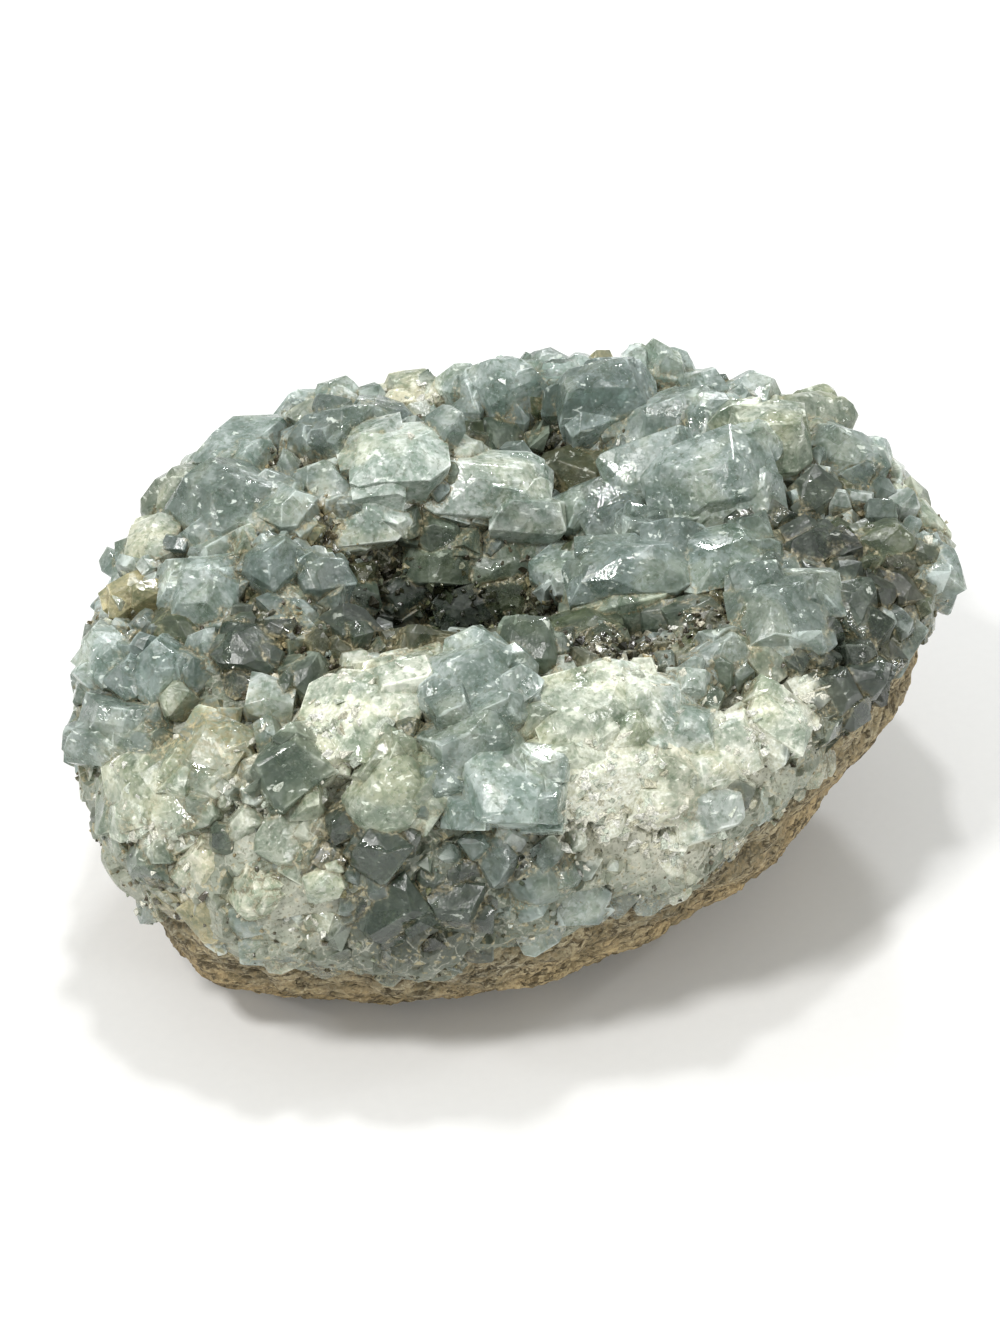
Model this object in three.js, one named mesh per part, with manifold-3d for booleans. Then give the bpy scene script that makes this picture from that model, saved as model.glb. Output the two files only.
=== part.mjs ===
// Celestite geode: an open half of a natural nodule. A stone rind carries one crust of blue-grey
// celestite crystals, which lines the hollow, covers the rim and runs down the front.
// Millimetres, +Z up. The origin is the middle of the small flat spot that the geode rests on.
// +X points to its right-hand end and -Y to its front.
import * as THREE from 'three';
import { ConvexGeometry } from 'three/addons/geometries/ConvexGeometry.js';
import { mergeVertices } from 'three/addons/utils/BufferGeometryUtils.js';
import Module from 'manifold-3d';

const wasm = await Module();
wasm.setup();

// ---- Body: lofting stations, one every 30 degrees of bearing from +X round to the back (+Y) ----

const FOOT_RADIUS = [25, 23, 19, 18, 21, 25, 28, 28, 24, 19, 19, 23];
const BELLY_RADIUS = [71, 67, 56, 50, 56, 58, 63, 65, 54, 48, 52, 57];
const BELLY_HEIGHT = [43, 42, 40, 38, 38, 40, 36, 28, 26, 27, 34, 41];
const CREST_RADIUS = [40, 37, 33, 31, 31, 33, 33, 31, 30, 30, 31, 36];
const CREST_HEIGHT = [52, 56, 57, 56, 59, 58, 55, 54, 54, 53, 52, 51];

const FOOT_CENTRE = new THREE.Vector2(0, 0);
const BELLY_CENTRE = new THREE.Vector2(10, 3);
const HOLLOW_CENTRE = new THREE.Vector2(15, 6);
const HOLLOW_FLOOR = 43; // height of the hollow's middle before the rises and pits below
const RELIEF_START = 2.3; // levels between which those rises and pits come in
const RELIEF_FULL = 2.9;
const REACH_OF_SIGMA = 1.6; // a rise's reach against the spread of its bell curve

// Rises (height over 0) and pits of the open side, each round and smooth: middle and reach in plan.
const RELIEF = [
  { x: -4, y: 5, height: -19, reach: 12 }, // deep pocket at the left of the hollow
  { x: 11, y: 0, height: -6, reach: 9 }, // trough that runs on from it
  { x: 26, y: -13, height: -8, reach: 6 }, // slit behind the front rim
  { x: 5, y: 22, height: 9, reach: 9 }, // ridge of pale crystals across the hollow
  { x: 6, y: 36, height: -4, reach: 7 }, // gap between that ridge and the back rim
  { x: 30, y: -3, height: 4, reach: 8 }, // middle of the right-hand floor
  { x: 27, y: 28, height: -6, reach: 6 }, // gap under the large block of the back wall
  { x: 61, y: 3, height: -4, reach: 7 }, // dip inside the right-hand rim
  { x: -20, y: 8, height: 2, reach: 10 }, // left-hand shoulder
];

// Where the crust starts, as a level of the body: 1 is the foot's edge, 2 the belly, 3 the crest.
const CRUST_EDGE = [2.12, 2.3, 2.42, 2.45, 2.35, 2.12, 1.84, 1.86, 1.88, 1.9, 2.02, 2.04];
const EDGE_WAVES = [
  { count: 7, size: 0.05, start: 40 },
  { count: 17, size: 0.04, start: 110 },
];

const BED_DEPTH = 6; // the crust's own thickness between the crystals
const BED_RAMP = 0.3; // levels over which the crust thickens from its edge
const BED_TUCK = 1; // how far the bed's blank stays inside the bare rind, where it is cut away
const SEAM = 0.4; // clear space between the rind and the crust
const NEAR = 0.01; // levels closer than this are the same

const BEARINGS = 40; // facets round the body
// Facets up the foot, the bare rind, the ramp inside the crust's edge, the shoulder and the hollow.
const ROWS = { foot: 1, bare: 5, ramp: 1, shoulder: 2, hollow: 4 };

// Low swells of the rind's surface: direction and pitch in radians per mm, and height in mm.
const SWELLS = [
  { along: [0.13, 0.05, 0.21], start: 0.4, height: 0.7 },
  { along: [-0.09, 0.24, 0.16], start: 2.1, height: 0.6 },
  { along: [0.37, -0.31, 0.52], start: 1.2, height: 0.4 },
  { along: [0.03, 0.05, 0.8], start: 0.7, height: 0.4 },
];
const SWELLS_FULL = 1.3; // level from which they have their full height

// ---- Crystals ----

const CRYSTAL_SEED = 57;
const DARTS = 9000; // places tried for the crystals between the large ones
const LOWEST_DART = 1.7; // level that no part of the crust's edge comes below
const SPACING = 0.95; // least distance between neighbours, as a share of their mean width
const EDGE_ROOM = 0.03; // levels between the crust's edge and the first crystals
const FULL_WIDTH = 11; // a crystal well inside the crust
const EDGE_WIDTH = 6.5; // a crystal where the crust thins out on the rind
const EDGE_SPAN = 0.2; // levels over which crystals grow from that to full size
const LOW_EDGE_SPAN = 0.6; // how many more there are where the edge lies low
const LOW_EDGE = [1.6, 2.3]; // levels of the edge between a low and a high one
const PIT_WIDTH = 6; // a crystal down in a pit
const PIT_DEPTHS = [2, 7]; // depths of a pit over which crystals shrink to that
// What differs from crystal to crystal, each from its least to its greatest. The thickness, height
// and width spread are shares of the width, the lean is a slope off the body's normal, the slope is
// the share of the height that the roof takes, and ridge and skew place the roof's ridge.
const WIDTH_SPREAD = [0.8, 1.2];
const THICKNESS = [0.65, 1];
const HEIGHT = [0.4, 0.75];
const LEAN = [-0.4, 0.4];
const SLOPE = [0.3, 0.65];
const RIDGE = [0.1, 0.7];
const SKEW = [-0.4, 0.4];

const CORNER_CUT = 0.35; // share of a half side that a cut corner takes
const ROOT_TAPER = 0.8; // width at the root against the width at the shoulder
const ROOT_DEPTH = 0.4; // depth of the root as a share of the width
const DEEPEST_ROOT = 4;
const TWO_CUTS = 9; // width from which two of the four corners are cut
const FOUR_CUTS = 14; // width from which all of them are

// The large crystals, in rows of bearing and level of the place, width, thickness, height, the
// bearing and the tilt from upright of the growing direction, and the turn of the width from +X.
const LARGE_CRYSTALS = [
  // back rim, from the left
  [136, 2.62, 14, 10, 7, 136, 25, 40],
  [118, 2.6, 12, 6, 7, 115, 30, 25],
  [106, 2.66, 6, 5, 7, 100, 20, 10],
  [96, 2.66, 10, 7, 7, 90, 20, 5],
  [87, 2.72, 7, 6, 8, 90, 15, 30],
  [80, 2.95, 9, 9, 10, 80, 10, 20],
  [66, 2.68, 10, 8, 9, 66, 25, -10],
  [57, 2.66, 5, 5, 8, 60, 25, 15],
  [46, 2.7, 9, 7, 9, 46, 25, -25],
  [30, 2.62, 8, 7, 7, 35, 30, -40],
  // back wall of the hollow
  [53, 3.04, 13, 9, 11, 240, 10, -10],
  [36, 3.0, 17, 9, 7, 250, 12, 10],
  [14, 3.2, 19, 13, 14, 262, 45, 8],
  [16, 2.88, 12, 10, 12, 250, 22, -15],
  [52, 3.36, 12, 8, 8, 240, 25, -40],
  [27, 3.52, 11, 10, 8, 250, 20, 10],
  [355, 3.47, 12, 10, 9, 255, 35, -20],
  [18, 3.83, 8, 8, 8, 250, 20, 30],
  [327, 3.53, 15, 9, 8, 255, 15, -15],
  [356, 3.16, 8, 8, 7, 230, 15, 40],
  [338, 3.22, 14, 10, 8, 260, 15, 0],
  [4, 2.82, 7, 6, 6, 200, 20, 20],
  // ridge across the hollow
  [104, 3.52, 18, 11, 8, 270, 22, -15],
  [134, 3.3, 14, 11, 6, 250, 10, -10],
  [150, 3.38, 11, 9, 9, 265, 50, -5],
  // right-hand rim
  [12, 2.62, 11, 8, 7, 20, 20, -30],
  [10, 2.34, 8, 6, 4, 15, 40, -60],
  [2, 2.3, 8, 7, 4, 0, 45, -80],
  [350, 2.26, 8, 6, 6, 345, 45, 80],
  [350, 2.6, 9, 7, 6, 200, 10, 10],
  [334, 2.56, 10, 7, 7, 200, 20, 50],
  [322, 2.82, 14, 13, 9, 270, 15, -10],
  [318, 2.32, 10, 8, 6, 310, 45, 30],
  [326, 2.28, 8, 6, 6, 325, 50, 60],
  // left-hand shoulder
  [162, 2.94, 7, 7, 7, 250, 15, 45],
  [150, 3.04, 7, 7, 6, 250, 15, 10],
  [158, 2.76, 14, 13, 9, 200, 15, 25],
  [180, 2.7, 10, 10, 7, 230, 25, -20],
  [180, 2.9, 8, 7, 8, 270, 10, 35],
  [162, 2.52, 9, 8, 6, 170, 25, 60],
  [171, 2.46, 7, 6, 6, 180, 35, 0],
  [184, 3, 8, 7, 7, 0, 15, 20],
  [182, 2.38, 9, 7, 8, 190, 35, -70],
  [190, 2.52, 10, 9, 8, 220, 20, 30],
  [192, 2.32, 12, 8, 7, 215, 42, -40],
  [184, 2.6, 7, 7, 5, 180, 10, 50],
  [198, 2.74, 9, 7, 6, 200, 10, -30],
  [182, 1.98, 6, 5, 5, 185, 85, 10],
  // front rim, from the left
  [206, 2.95, 7, 6, 6, 45, 20, 20],
  [228, 2.84, 11, 9, 6, 250, 10, 0],
  [244, 2.84, 13, 11, 9, 250, 5, 20],
  [254, 3.06, 8, 7, 7, 80, 10, -20],
  [268, 2.72, 14, 12, 8, 270, 25, 5],
  [283, 2.68, 13, 11, 8, 280, 25, -20],
  [246, 2.66, 12, 11, 9, 255, 45, 10],
  [253, 2.54, 12, 10, 12, 264, 62, -15],
  [275, 2.5, 19, 10, 8, 272, 52, -10],
  [220, 2.54, 10, 9, 10, 230, 40, 15],
  [224, 2.68, 13, 11, 7, 230, 20, -35],
  [208, 2.48, 11, 9, 6, 215, 30, 40],
  [202, 2.32, 14, 11, 6, 208, 50, -20],
  [235, 2.5, 12, 9, 7, 238, 52, 30],
  [294, 2.46, 9, 8, 7, 290, 45, 15],
  [305, 2.46, 9, 7, 7, 300, 42, -30],
  [290, 2.28, 8, 7, 6, 288, 65, 10],
  // front face under the rim
  [236, 2.34, 7, 6, 6, 240, 62, 30],
  [229, 2.24, 6, 5, 5, 230, 66, -10],
  [238, 2.16, 10, 8, 5, 240, 76, 10],
  [247, 2.16, 8, 7, 5, 248, 78, -25],
  [260, 2.2, 8, 7, 5, 262, 76, 20],
  [268, 2.06, 7, 6, 5, 268, 84, -10],
  [221, 2.18, 7, 6, 5, 224, 74, 15],
  [206, 2.12, 8, 6, 5, 208, 74, -30],
];

// ---- Small tools ----

// A repeatable stream of numbers between 0 and 1.
function randomStream(seed) {
  let state = seed >>> 0;
  return () => {
    state = (Math.imul(state, 1664525) + 1013904223) >>> 0;
    return state / 4294967296;
  };
}

// The stream's next number, spread over a range.
function between(random, [low, high]) {
  return low + (high - low) * random();
}

// 0 below low, 1 above high, and a smooth rise between them.
function rise(value, low, high) {
  return THREE.MathUtils.smoothstep(value, low, high);
}

// A smooth closed curve through station values that are evenly spaced in bearing.
function atBearing(stations, degrees) {
  const n = stations.length;
  const place = ((degrees / 360) * n + n) % n;
  const i = Math.floor(place);
  const t = place - i;
  const [a, b, c, d] = [-1, 0, 1, 2].map((k) => stations[(i + k + n) % n]);
  return b + 0.5 * t * (c - a + t * (2 * a - 5 * b + 4 * c - d + t * (3 * (b - c) + d - a)));
}

// ---- The body's smooth surface ----

// Height that the rises and pits add over a place in plan.
function relief(x, y) {
  return RELIEF.reduce((sum, bump) => {
    const away = Math.hypot(x - bump.x, y - bump.y) / (bump.reach / REACH_OF_SIGMA);
    return sum + bump.height * Math.exp(-0.5 * away ** 2);
  }, 0);
}

// Level 0 to 1 is the flat foot, 1 to 2 the underside, 2 to 3 the shoulder, 3 to 4 the hollow.
function bodyPoint(degrees, level) {
  const belly = atBearing(BELLY_RADIUS, degrees);
  const bellyHeight = atBearing(BELLY_HEIGHT, degrees);
  const crest = atBearing(CREST_RADIUS, degrees);
  const crestHeight = atBearing(CREST_HEIGHT, degrees);
  const foot = atBearing(FOOT_RADIUS, degrees);
  const part = Math.min(Math.floor(level), 3);
  const share = level - part;
  const sine = Math.sin((share * Math.PI) / 2);
  const cosine = Math.cos((share * Math.PI) / 2);
  const centre = new THREE.Vector2();
  let radius;
  let height;
  if (part === 0) {
    centre.copy(FOOT_CENTRE);
    radius = foot * share;
    height = 0;
  } else if (part === 1) {
    centre.lerpVectors(FOOT_CENTRE, BELLY_CENTRE, sine);
    radius = foot + (belly - foot) * sine;
    height = bellyHeight * (1 - cosine);
  } else if (part === 2) {
    centre.lerpVectors(BELLY_CENTRE, HOLLOW_CENTRE, 1 - cosine);
    radius = crest + (belly - crest) * cosine;
    height = bellyHeight + (crestHeight - bellyHeight) * sine;
  } else {
    centre.copy(HOLLOW_CENTRE);
    radius = crest * (1 - share);
    height = HOLLOW_FLOOR + (crestHeight - HOLLOW_FLOOR) * (0.5 + 0.5 * Math.cos(Math.PI * share));
  }
  const angle = THREE.MathUtils.degToRad(degrees);
  const x = centre.x + radius * Math.cos(angle);
  const y = centre.y + radius * Math.sin(angle);
  const open = rise(level, RELIEF_START, RELIEF_FULL);
  return new THREE.Vector3(x, y, height + open * relief(x, y));
}

// The directions of growing bearing and growing level, and the outward normal, at a place.
function bodyFrame(degrees, level) {
  const step = 0.01;
  const low = THREE.MathUtils.clamp(level, step, 4 - 2 * step) - step;
  const at = low + step;
  const round = bodyPoint(degrees + 1, at).sub(bodyPoint(degrees - 1, at)).normalize();
  const up = bodyPoint(degrees, low + 2 * step).sub(bodyPoint(degrees, low)).normalize();
  return { round, up, normal: round.clone().cross(up).normalize() };
}

// The level of the crust's wavy edge.
function crustEdge(degrees) {
  const wave = EDGE_WAVES.reduce(
    (sum, w) => sum + w.size * Math.sin(THREE.MathUtils.degToRad(w.count * degrees + w.start)),
    0,
  );
  return atBearing(CRUST_EDGE, degrees) + wave;
}

// Height of the rind's low swells at a point of the smooth surface.
function swell(point) {
  return SWELLS.reduce(
    (sum, s) =>
      sum +
      s.height *
        Math.sin(s.along[0] * point.x + s.along[1] * point.y + s.along[2] * point.z + s.start),
    0,
  );
}

// The levels of the body's rows of corners at a bearing, with one along the crust's edge.
function rowLevels(degrees) {
  const edge = crustEdge(degrees);
  const bounds = [0, 1, edge, edge + BED_RAMP, 3, 4];
  return Object.values(ROWS).flatMap((count, part) =>
    Array.from({ length: count }, (_, i) =>
      THREE.MathUtils.lerp(bounds[part], bounds[part + 1], (i + 1) / count),
    ),
  );
}

// A closed body whose surface stands off the smooth one by offset(degrees, level) along its normal.
function closedBody(offset) {
  const place = (degrees, level) => {
    const distance = offset(degrees, level);
    const { normal } = bodyFrame(degrees, level);
    const point = bodyPoint(degrees, level).addScaledVector(normal, distance);
    if (level <= 1) point.z = -offset(0, 0);
    return point;
  };
  const points = [place(0, 0)];
  const rows = rowLevels(0).length - 1;
  for (let i = 0; i < BEARINGS; i += 1) {
    const degrees = (360 * i) / BEARINGS;
    for (const level of rowLevels(degrees).slice(0, rows)) points.push(place(degrees, level));
  }
  points.push(place(0, 4));
  const at = (row, i) => 1 + (i % BEARINGS) * rows + row;
  const faces = [];
  for (let i = 0; i < BEARINGS; i += 1) {
    faces.push(0, at(0, i + 1), at(0, i));
    for (let row = 0; row + 1 < rows; row += 1) {
      faces.push(at(row, i), at(row, i + 1), at(row + 1, i + 1));
      faces.push(at(row, i), at(row + 1, i + 1), at(row + 1, i));
    }
    faces.push(at(rows - 1, i), at(rows - 1, i + 1), points.length - 1);
  }
  const geometry = new THREE.BufferGeometry().setFromPoints(points);
  geometry.setIndex(faces);
  return geometry;
}

// ---- Rind ----

// The rind's own surface: swells where it is bare, and sunk by the bed's depth under the crust.
function rindOffset(degrees, level) {
  const bare = swell(bodyPoint(degrees, level)) * rise(level, 1, SWELLS_FULL);
  const edge = crustEdge(degrees);
  const under = THREE.MathUtils.clamp((level - edge) / BED_RAMP, 0, 1);
  return bare * (1 - under) - BED_DEPTH * under;
}

// ---- Crystals ----

// The outline of a crystal across its length, in half widths: the larger, the more corners are cut.
function outline(width) {
  const c = 1 - CORNER_CUT;
  if (width >= FOUR_CUTS) {
    return [
      [1, c], [c, 1], [-c, 1], [-1, c],
      [-1, -c], [-c, -1], [c, -1], [1, -c],
    ];
  }
  if (width >= TWO_CUTS) {
    return [
      [1, 1], [-c, 1], [-1, c],
      [-1, -1], [c, -1], [1, -c],
    ];
  }
  return [[1, 1], [-1, 1], [-1, -1], [1, -1]];
}

// The corners of a blocky crystal that grows along +Z from the origin: a prism on a narrower root
// with a roof of two broad and two small faces.
function crystalCorners({ width, thickness, height, slope, ridge, skew }) {
  const root = Math.min(ROOT_DEPTH * width, DEEPEST_ROOT);
  const shoulder = height * (1 - slope);
  const corners = [];
  for (const [x, y] of outline(width)) {
    corners.push([0.5 * width * ROOT_TAPER * x, 0.5 * thickness * ROOT_TAPER * y, -root]);
    corners.push([0.5 * width * x, 0.5 * thickness * y, shoulder]);
  }
  const off = 0.5 * thickness * skew;
  corners.push([0.5 * width * ridge, off, height], [-0.5 * width * ridge, off, height]);
  return corners.map(([x, y, z]) => new THREE.Vector3(x, y, z));
}

// How wide a crystal grows at a place: small at the crust's edge, full size inside it.
function crystalWidth(degrees, level) {
  const edge = crustEdge(degrees);
  const span = EDGE_SPAN + LOW_EDGE_SPAN * (1 - rise(edge, ...LOW_EDGE));
  const inside = rise(level, edge, edge + span);
  const { x, y } = bodyPoint(degrees, level);
  const sunk = level > RELIEF_START ? rise(-relief(x, y), ...PIT_DEPTHS) : 0;
  const full = FULL_WIDTH + (PIT_WIDTH - FULL_WIDTH) * sunk;
  return EDGE_WIDTH + (full - EDGE_WIDTH) * inside;
}

// The corners of a crystal in its place, rooted on the body and grown along its axis.
function placedCrystal(crystal) {
  const upright = new THREE.Vector3(0, 0, 1);
  const twist = THREE.MathUtils.degToRad(crystal.twist);
  const turn = new THREE.Quaternion()
    .setFromUnitVectors(upright, crystal.axis)
    .multiply(new THREE.Quaternion().setFromAxisAngle(upright, twist));
  return crystalCorners(crystal).map((corner) => corner.applyQuaternion(turn).add(crystal.spot));
}

// The build that differs from crystal to crystal: how far the roof comes down, the length of its
// ridge and how far that lies off the middle.
function habit(random) {
  return { slope: between(random, SLOPE), ridge: between(random, RIDGE), skew: between(random, SKEW) };
}

// The large crystals, from their table.
function largeCrystals(random) {
  return LARGE_CRYSTALS.map(([degrees, level, width, thickness, height, aim, tilt, twist]) => {
    const polar = THREE.MathUtils.degToRad(tilt);
    const bearing = THREE.MathUtils.degToRad(aim);
    const axis = new THREE.Vector3(
      Math.sin(polar) * Math.cos(bearing),
      Math.sin(polar) * Math.sin(bearing),
      Math.cos(polar),
    );
    const spot = bodyPoint(degrees, level);
    return { spot, axis, width, thickness, height, twist, ...habit(random) };
  });
}

// Crystals between the large ones, thrown at random and kept where there is room.
function fillingCrystals(grown, random) {
  const all = [...grown];
  for (let dart = 0; dart < DARTS; dart += 1) {
    const degrees = 360 * random();
    const level = between(random, [LOWEST_DART, 4]);
    const size = between(random, WIDTH_SPREAD);
    if (level < crustEdge(degrees) + EDGE_ROOM) continue;
    const width = crystalWidth(degrees, level) * size;
    const spot = bodyPoint(degrees, level);
    const crowded = all.some(
      (other) => other.spot.distanceTo(spot) < (SPACING * (other.width + width)) / 2,
    );
    if (crowded) continue;
    const { round, up, normal } = bodyFrame(degrees, level);
    const axis = normal
      .addScaledVector(round, between(random, LEAN))
      .addScaledVector(up, between(random, LEAN))
      .normalize();
    const thickness = width * between(random, THICKNESS);
    const height = width * between(random, HEIGHT);
    const twist = 360 * random();
    all.push({ spot, axis, width, thickness, height, twist, ...habit(random) });
  }
  return all;
}

// Every crystal of the crust.
function grownCrystals() {
  const random = randomStream(CRYSTAL_SEED);
  return fillingCrystals(largeCrystals(random), random);
}

// ---- Solids ----

function solidOf(geometry) {
  const bare = geometry.clone();
  bare.deleteAttribute('normal');
  bare.deleteAttribute('uv');
  const merged = mergeVertices(bare, 1e-4);
  return new wasm.Manifold(
    new wasm.Mesh({
      numProp: 3,
      vertProperties: new Float32Array(merged.attributes.position.array),
      triVerts: new Uint32Array(merged.index.array),
    }),
  );
}

function geometryOf(solid) {
  const mesh = solid.getMesh();
  const geometry = new THREE.BufferGeometry();
  geometry.setAttribute('position', new THREE.BufferAttribute(mesh.vertProperties, 3));
  geometry.setIndex(new THREE.BufferAttribute(mesh.triVerts, 1));
  geometry.computeVertexNormals();
  return geometry;
}

// The largest of a solid's shells, without chips that a cut leaves loose or voids that it seals.
function mainShell(solid) {
  return solid.decompose().reduce((best, shell) => (shell.volume() > best.volume() ? shell : best));
}

function rind() {
  return mainShell(solidOf(closedBody(rindOffset)));
}

// The bed and its crystals as one solid, cut clear of the rind.
function crystalCrust() {
  const bed = (degrees, level) => (level < crustEdge(degrees) - NEAR ? -BED_TUCK : 0);
  let crust = solidOf(closedBody(bed));
  for (const spec of grownCrystals()) {
    crust = crust.add(solidOf(new ConvexGeometry(placedCrystal(spec))));
  }
  const bound = solidOf(closedBody((degrees, level) => rindOffset(degrees, level) + SEAM));
  return mainShell(crust.subtract(bound));
}

// ---- Scene ----

function stoneMaterial() {
  return new THREE.MeshStandardMaterial({ color: 0xa8997a, roughness: 0.95, metalness: 0 });
}

function crystalMaterial() {
  return new THREE.MeshStandardMaterial({
    color: 0xa3b3ae,
    roughness: 0.25,
    metalness: 0,
    flatShading: true,
  });
}

function piece(name, solid, material) {
  const mesh = new THREE.Mesh(geometryOf(solid), material);
  mesh.name = name;
  return mesh;
}

const geode = new THREE.Group();
geode.add(piece('stone_rind', rind(), stoneMaterial()));
geode.add(piece('crystal_crust', crystalCrust(), crystalMaterial()));

export default geode;
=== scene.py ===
# Celestite geode: an open half of a natural nodule. A stone rind carries one crust of crystals,
# which lines the hollow, covers the rim and runs down the front.
import math
import random

import bmesh
import bpy
import numpy as np
from bpy.props import FloatProperty, FloatVectorProperty, IntProperty, PointerProperty
from mathutils import Matrix, Quaternion, Vector, kdtree, noise


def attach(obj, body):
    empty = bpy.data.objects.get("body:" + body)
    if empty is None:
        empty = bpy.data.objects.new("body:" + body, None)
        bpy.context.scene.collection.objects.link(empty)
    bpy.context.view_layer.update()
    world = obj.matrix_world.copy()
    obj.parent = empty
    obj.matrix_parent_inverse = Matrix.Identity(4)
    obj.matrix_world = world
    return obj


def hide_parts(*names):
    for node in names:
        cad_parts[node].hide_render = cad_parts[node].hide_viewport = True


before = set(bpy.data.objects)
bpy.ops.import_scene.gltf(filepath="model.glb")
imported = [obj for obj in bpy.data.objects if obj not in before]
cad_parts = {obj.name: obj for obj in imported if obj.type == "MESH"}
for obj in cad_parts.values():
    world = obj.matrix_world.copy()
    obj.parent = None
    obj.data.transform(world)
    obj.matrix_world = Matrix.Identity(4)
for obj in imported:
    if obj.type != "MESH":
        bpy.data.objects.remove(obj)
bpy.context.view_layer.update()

bl_info = {
    "name": "Celestite Geode",
    "version": (1, 0, 0),
    "blender": (4, 5, 0),
    "location": "View3D > Sidebar > Geode",
    "description": "Rind, crystal crust, druse and studio of a celestite geode",
    "category": "Add Mesh",
}

MM = 0.001

# ---- The body ----

# Stations stand every 30 degrees of bearing from +X towards +Y, in millimetres. The level goes from
# 0 to 1 over the foot, to 2 up the underside, to 3 over the shoulder and to 4 down in the hollow.

FOOT_RADIUS = [25, 23, 19, 18, 21, 25, 28, 28, 24, 19, 19, 23]
BELLY_RADIUS = [71, 67, 56, 50, 56, 58, 63, 65, 54, 48, 52, 57]
BELLY_HEIGHT = [43, 42, 40, 38, 38, 40, 36, 28, 26, 27, 34, 41]
CREST_RADIUS = [40, 37, 33, 31, 31, 33, 33, 31, 30, 30, 31, 36]
CREST_HEIGHT = [52, 56, 57, 56, 59, 58, 55, 54, 54, 53, 52, 51]
FOOT_CENTRE = (0, 0)
BELLY_CENTRE = (10, 3)
HOLLOW_CENTRE = (15, 6)
HOLLOW_FLOOR = 43
RELIEF_LEVELS = (2.3, 2.9)
REACH_OF_SIGMA = 1.6
# Rises and pits of the open side: x, y, height, reach.
RELIEF = [
    (-4, 5, -19, 12), (11, 0, -6, 9), (26, -13, -8, 6), (5, 22, 9, 9), (6, 36, -4, 7),
    (30, -3, 4, 8), (27, 28, -6, 6), (61, 3, -4, 7), (-20, 8, 2, 10),
]
# The crust: the level of its lower edge, the waves of that edge, and its depth in the rind.
CRUST_EDGE = [2.12, 2.3, 2.42, 2.45, 2.35, 2.12, 1.84, 1.86, 1.88, 1.9, 2.02, 2.04]
EDGE_WAVES = [(7, 0.05, 40), (17, 0.04, 110)]
BED_DEPTH = 6
BED_RAMP = 0.3
SEAM = 0.4
# Low swells of the bare rind: direction, start and height.
SWELLS = [
    ((0.13, 0.05, 0.21), 0.4, 0.7),
    ((-0.09, 0.24, 0.16), 2.1, 0.6),
    ((0.37, -0.31, 0.52), 1.2, 0.4),
    ((0.03, 0.05, 0.8), 0.7, 0.4),
]
SWELLS_FULL = 1.3

# ---- The rind's and the bed's own meshes ----

RIND_AROUND = 560
RIND_ROWS = (8, 80, 4, 10)  # over the foot, the bare side, the crust's edge, and under the crust
RIND_TOP = 3.98
RIND_GRAIN_FROM = (1.0, 1.12)
RIND_LAYERS_FROM = 0.35
BED_AROUND = 460
BED_ROWS = 120
BED_UNDER_ROWS = 10
BED_TOP, BED_UNDER_TOP = 3.985, 3.97
BED_SECTIONS = 2600
BED_SEED = 5
BED_HOLLOW, BED_FRONT, BED_REST = (0.10, 0.105, 0.055), (0.27, 0.30, 0.235), (0.19, 0.20, 0.125)

# ---- Crystals ----

CRYSTAL_SEED = 57
STREAM_FACTOR, STREAM_STEP, STREAM_SIZE = 1664525, 1013904223, 2**32
# The smaller crystals: places tried, room between them, and widths by place.
DARTS = 9000
LOWEST_DART = 1.7
SPACING = 0.95
EDGE_ROOM = 0.03
FULL_WIDTH = 11
EDGE_WIDTH = 6.5
EDGE_SPAN = 0.2
LOW_EDGE_SPAN = 0.6
LOW_EDGE = (1.6, 2.3)
PIT_WIDTH = 6
PIT_DEPTHS = (2, 7)
WIDTH_SPREAD = (0.8, 1.2)
# Thickness and height as shares of the width, leaning, and the shape of the top.
THICKNESS = (0.65, 1)
HEIGHT = (0.4, 0.75)
LEAN = (-0.4, 0.4)
SLOPE = (0.3, 0.65)
RIDGE = (0.1, 0.7)
SKEW = (-0.4, 0.4)
# The part that is set in the crust, and the width from which edges are worn.
ROOT_TAPER = 0.8
ROOT_DEPTH = 0.4
DEEPEST_ROOT = 4
WORN_FROM = 4.5
# The smallest crystals of this mesh, packed between the others.
INFILL_DARTS = 9000
INFILL_WIDTH = (3.4, 7.6)
INFILL_HEIGHT = (2.6, 6.0)
INFILL_SPACING = 0.66
INFILL_CELL = 4.0
# How much wider and thicker the large crystals are than their rows say, and the small than drawn.
LARGE_WIDER, LARGE_THICKER, SMALL_WIDER = 1.1, 1.14, 1.12
# Crystals low on the body, and those inside the front rim, are shorter.
LOW_LEVEL, LOW_HEIGHT = 2.3, 0.65
INNER_LEVEL, INNER_HEIGHT, INNER_BEARINGS = 2.95, 0.6, (190, 340)
# Share of the height that is left at the crust's edge, and the span of levels that it grows over.
EDGE_HEIGHT, EDGE_GROWTH = 0.35, 0.3
# How much of the darkening patches (painted shade in the hollow and its pit, darker tone elsewhere)
# a large crystal, one of the hollow's and one of the pit's keep off.
OWN_TINT, HOLLOW_OWN_TINT, DEEP_OWN_TINT = 0.8, 0.6, 0.3

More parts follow.
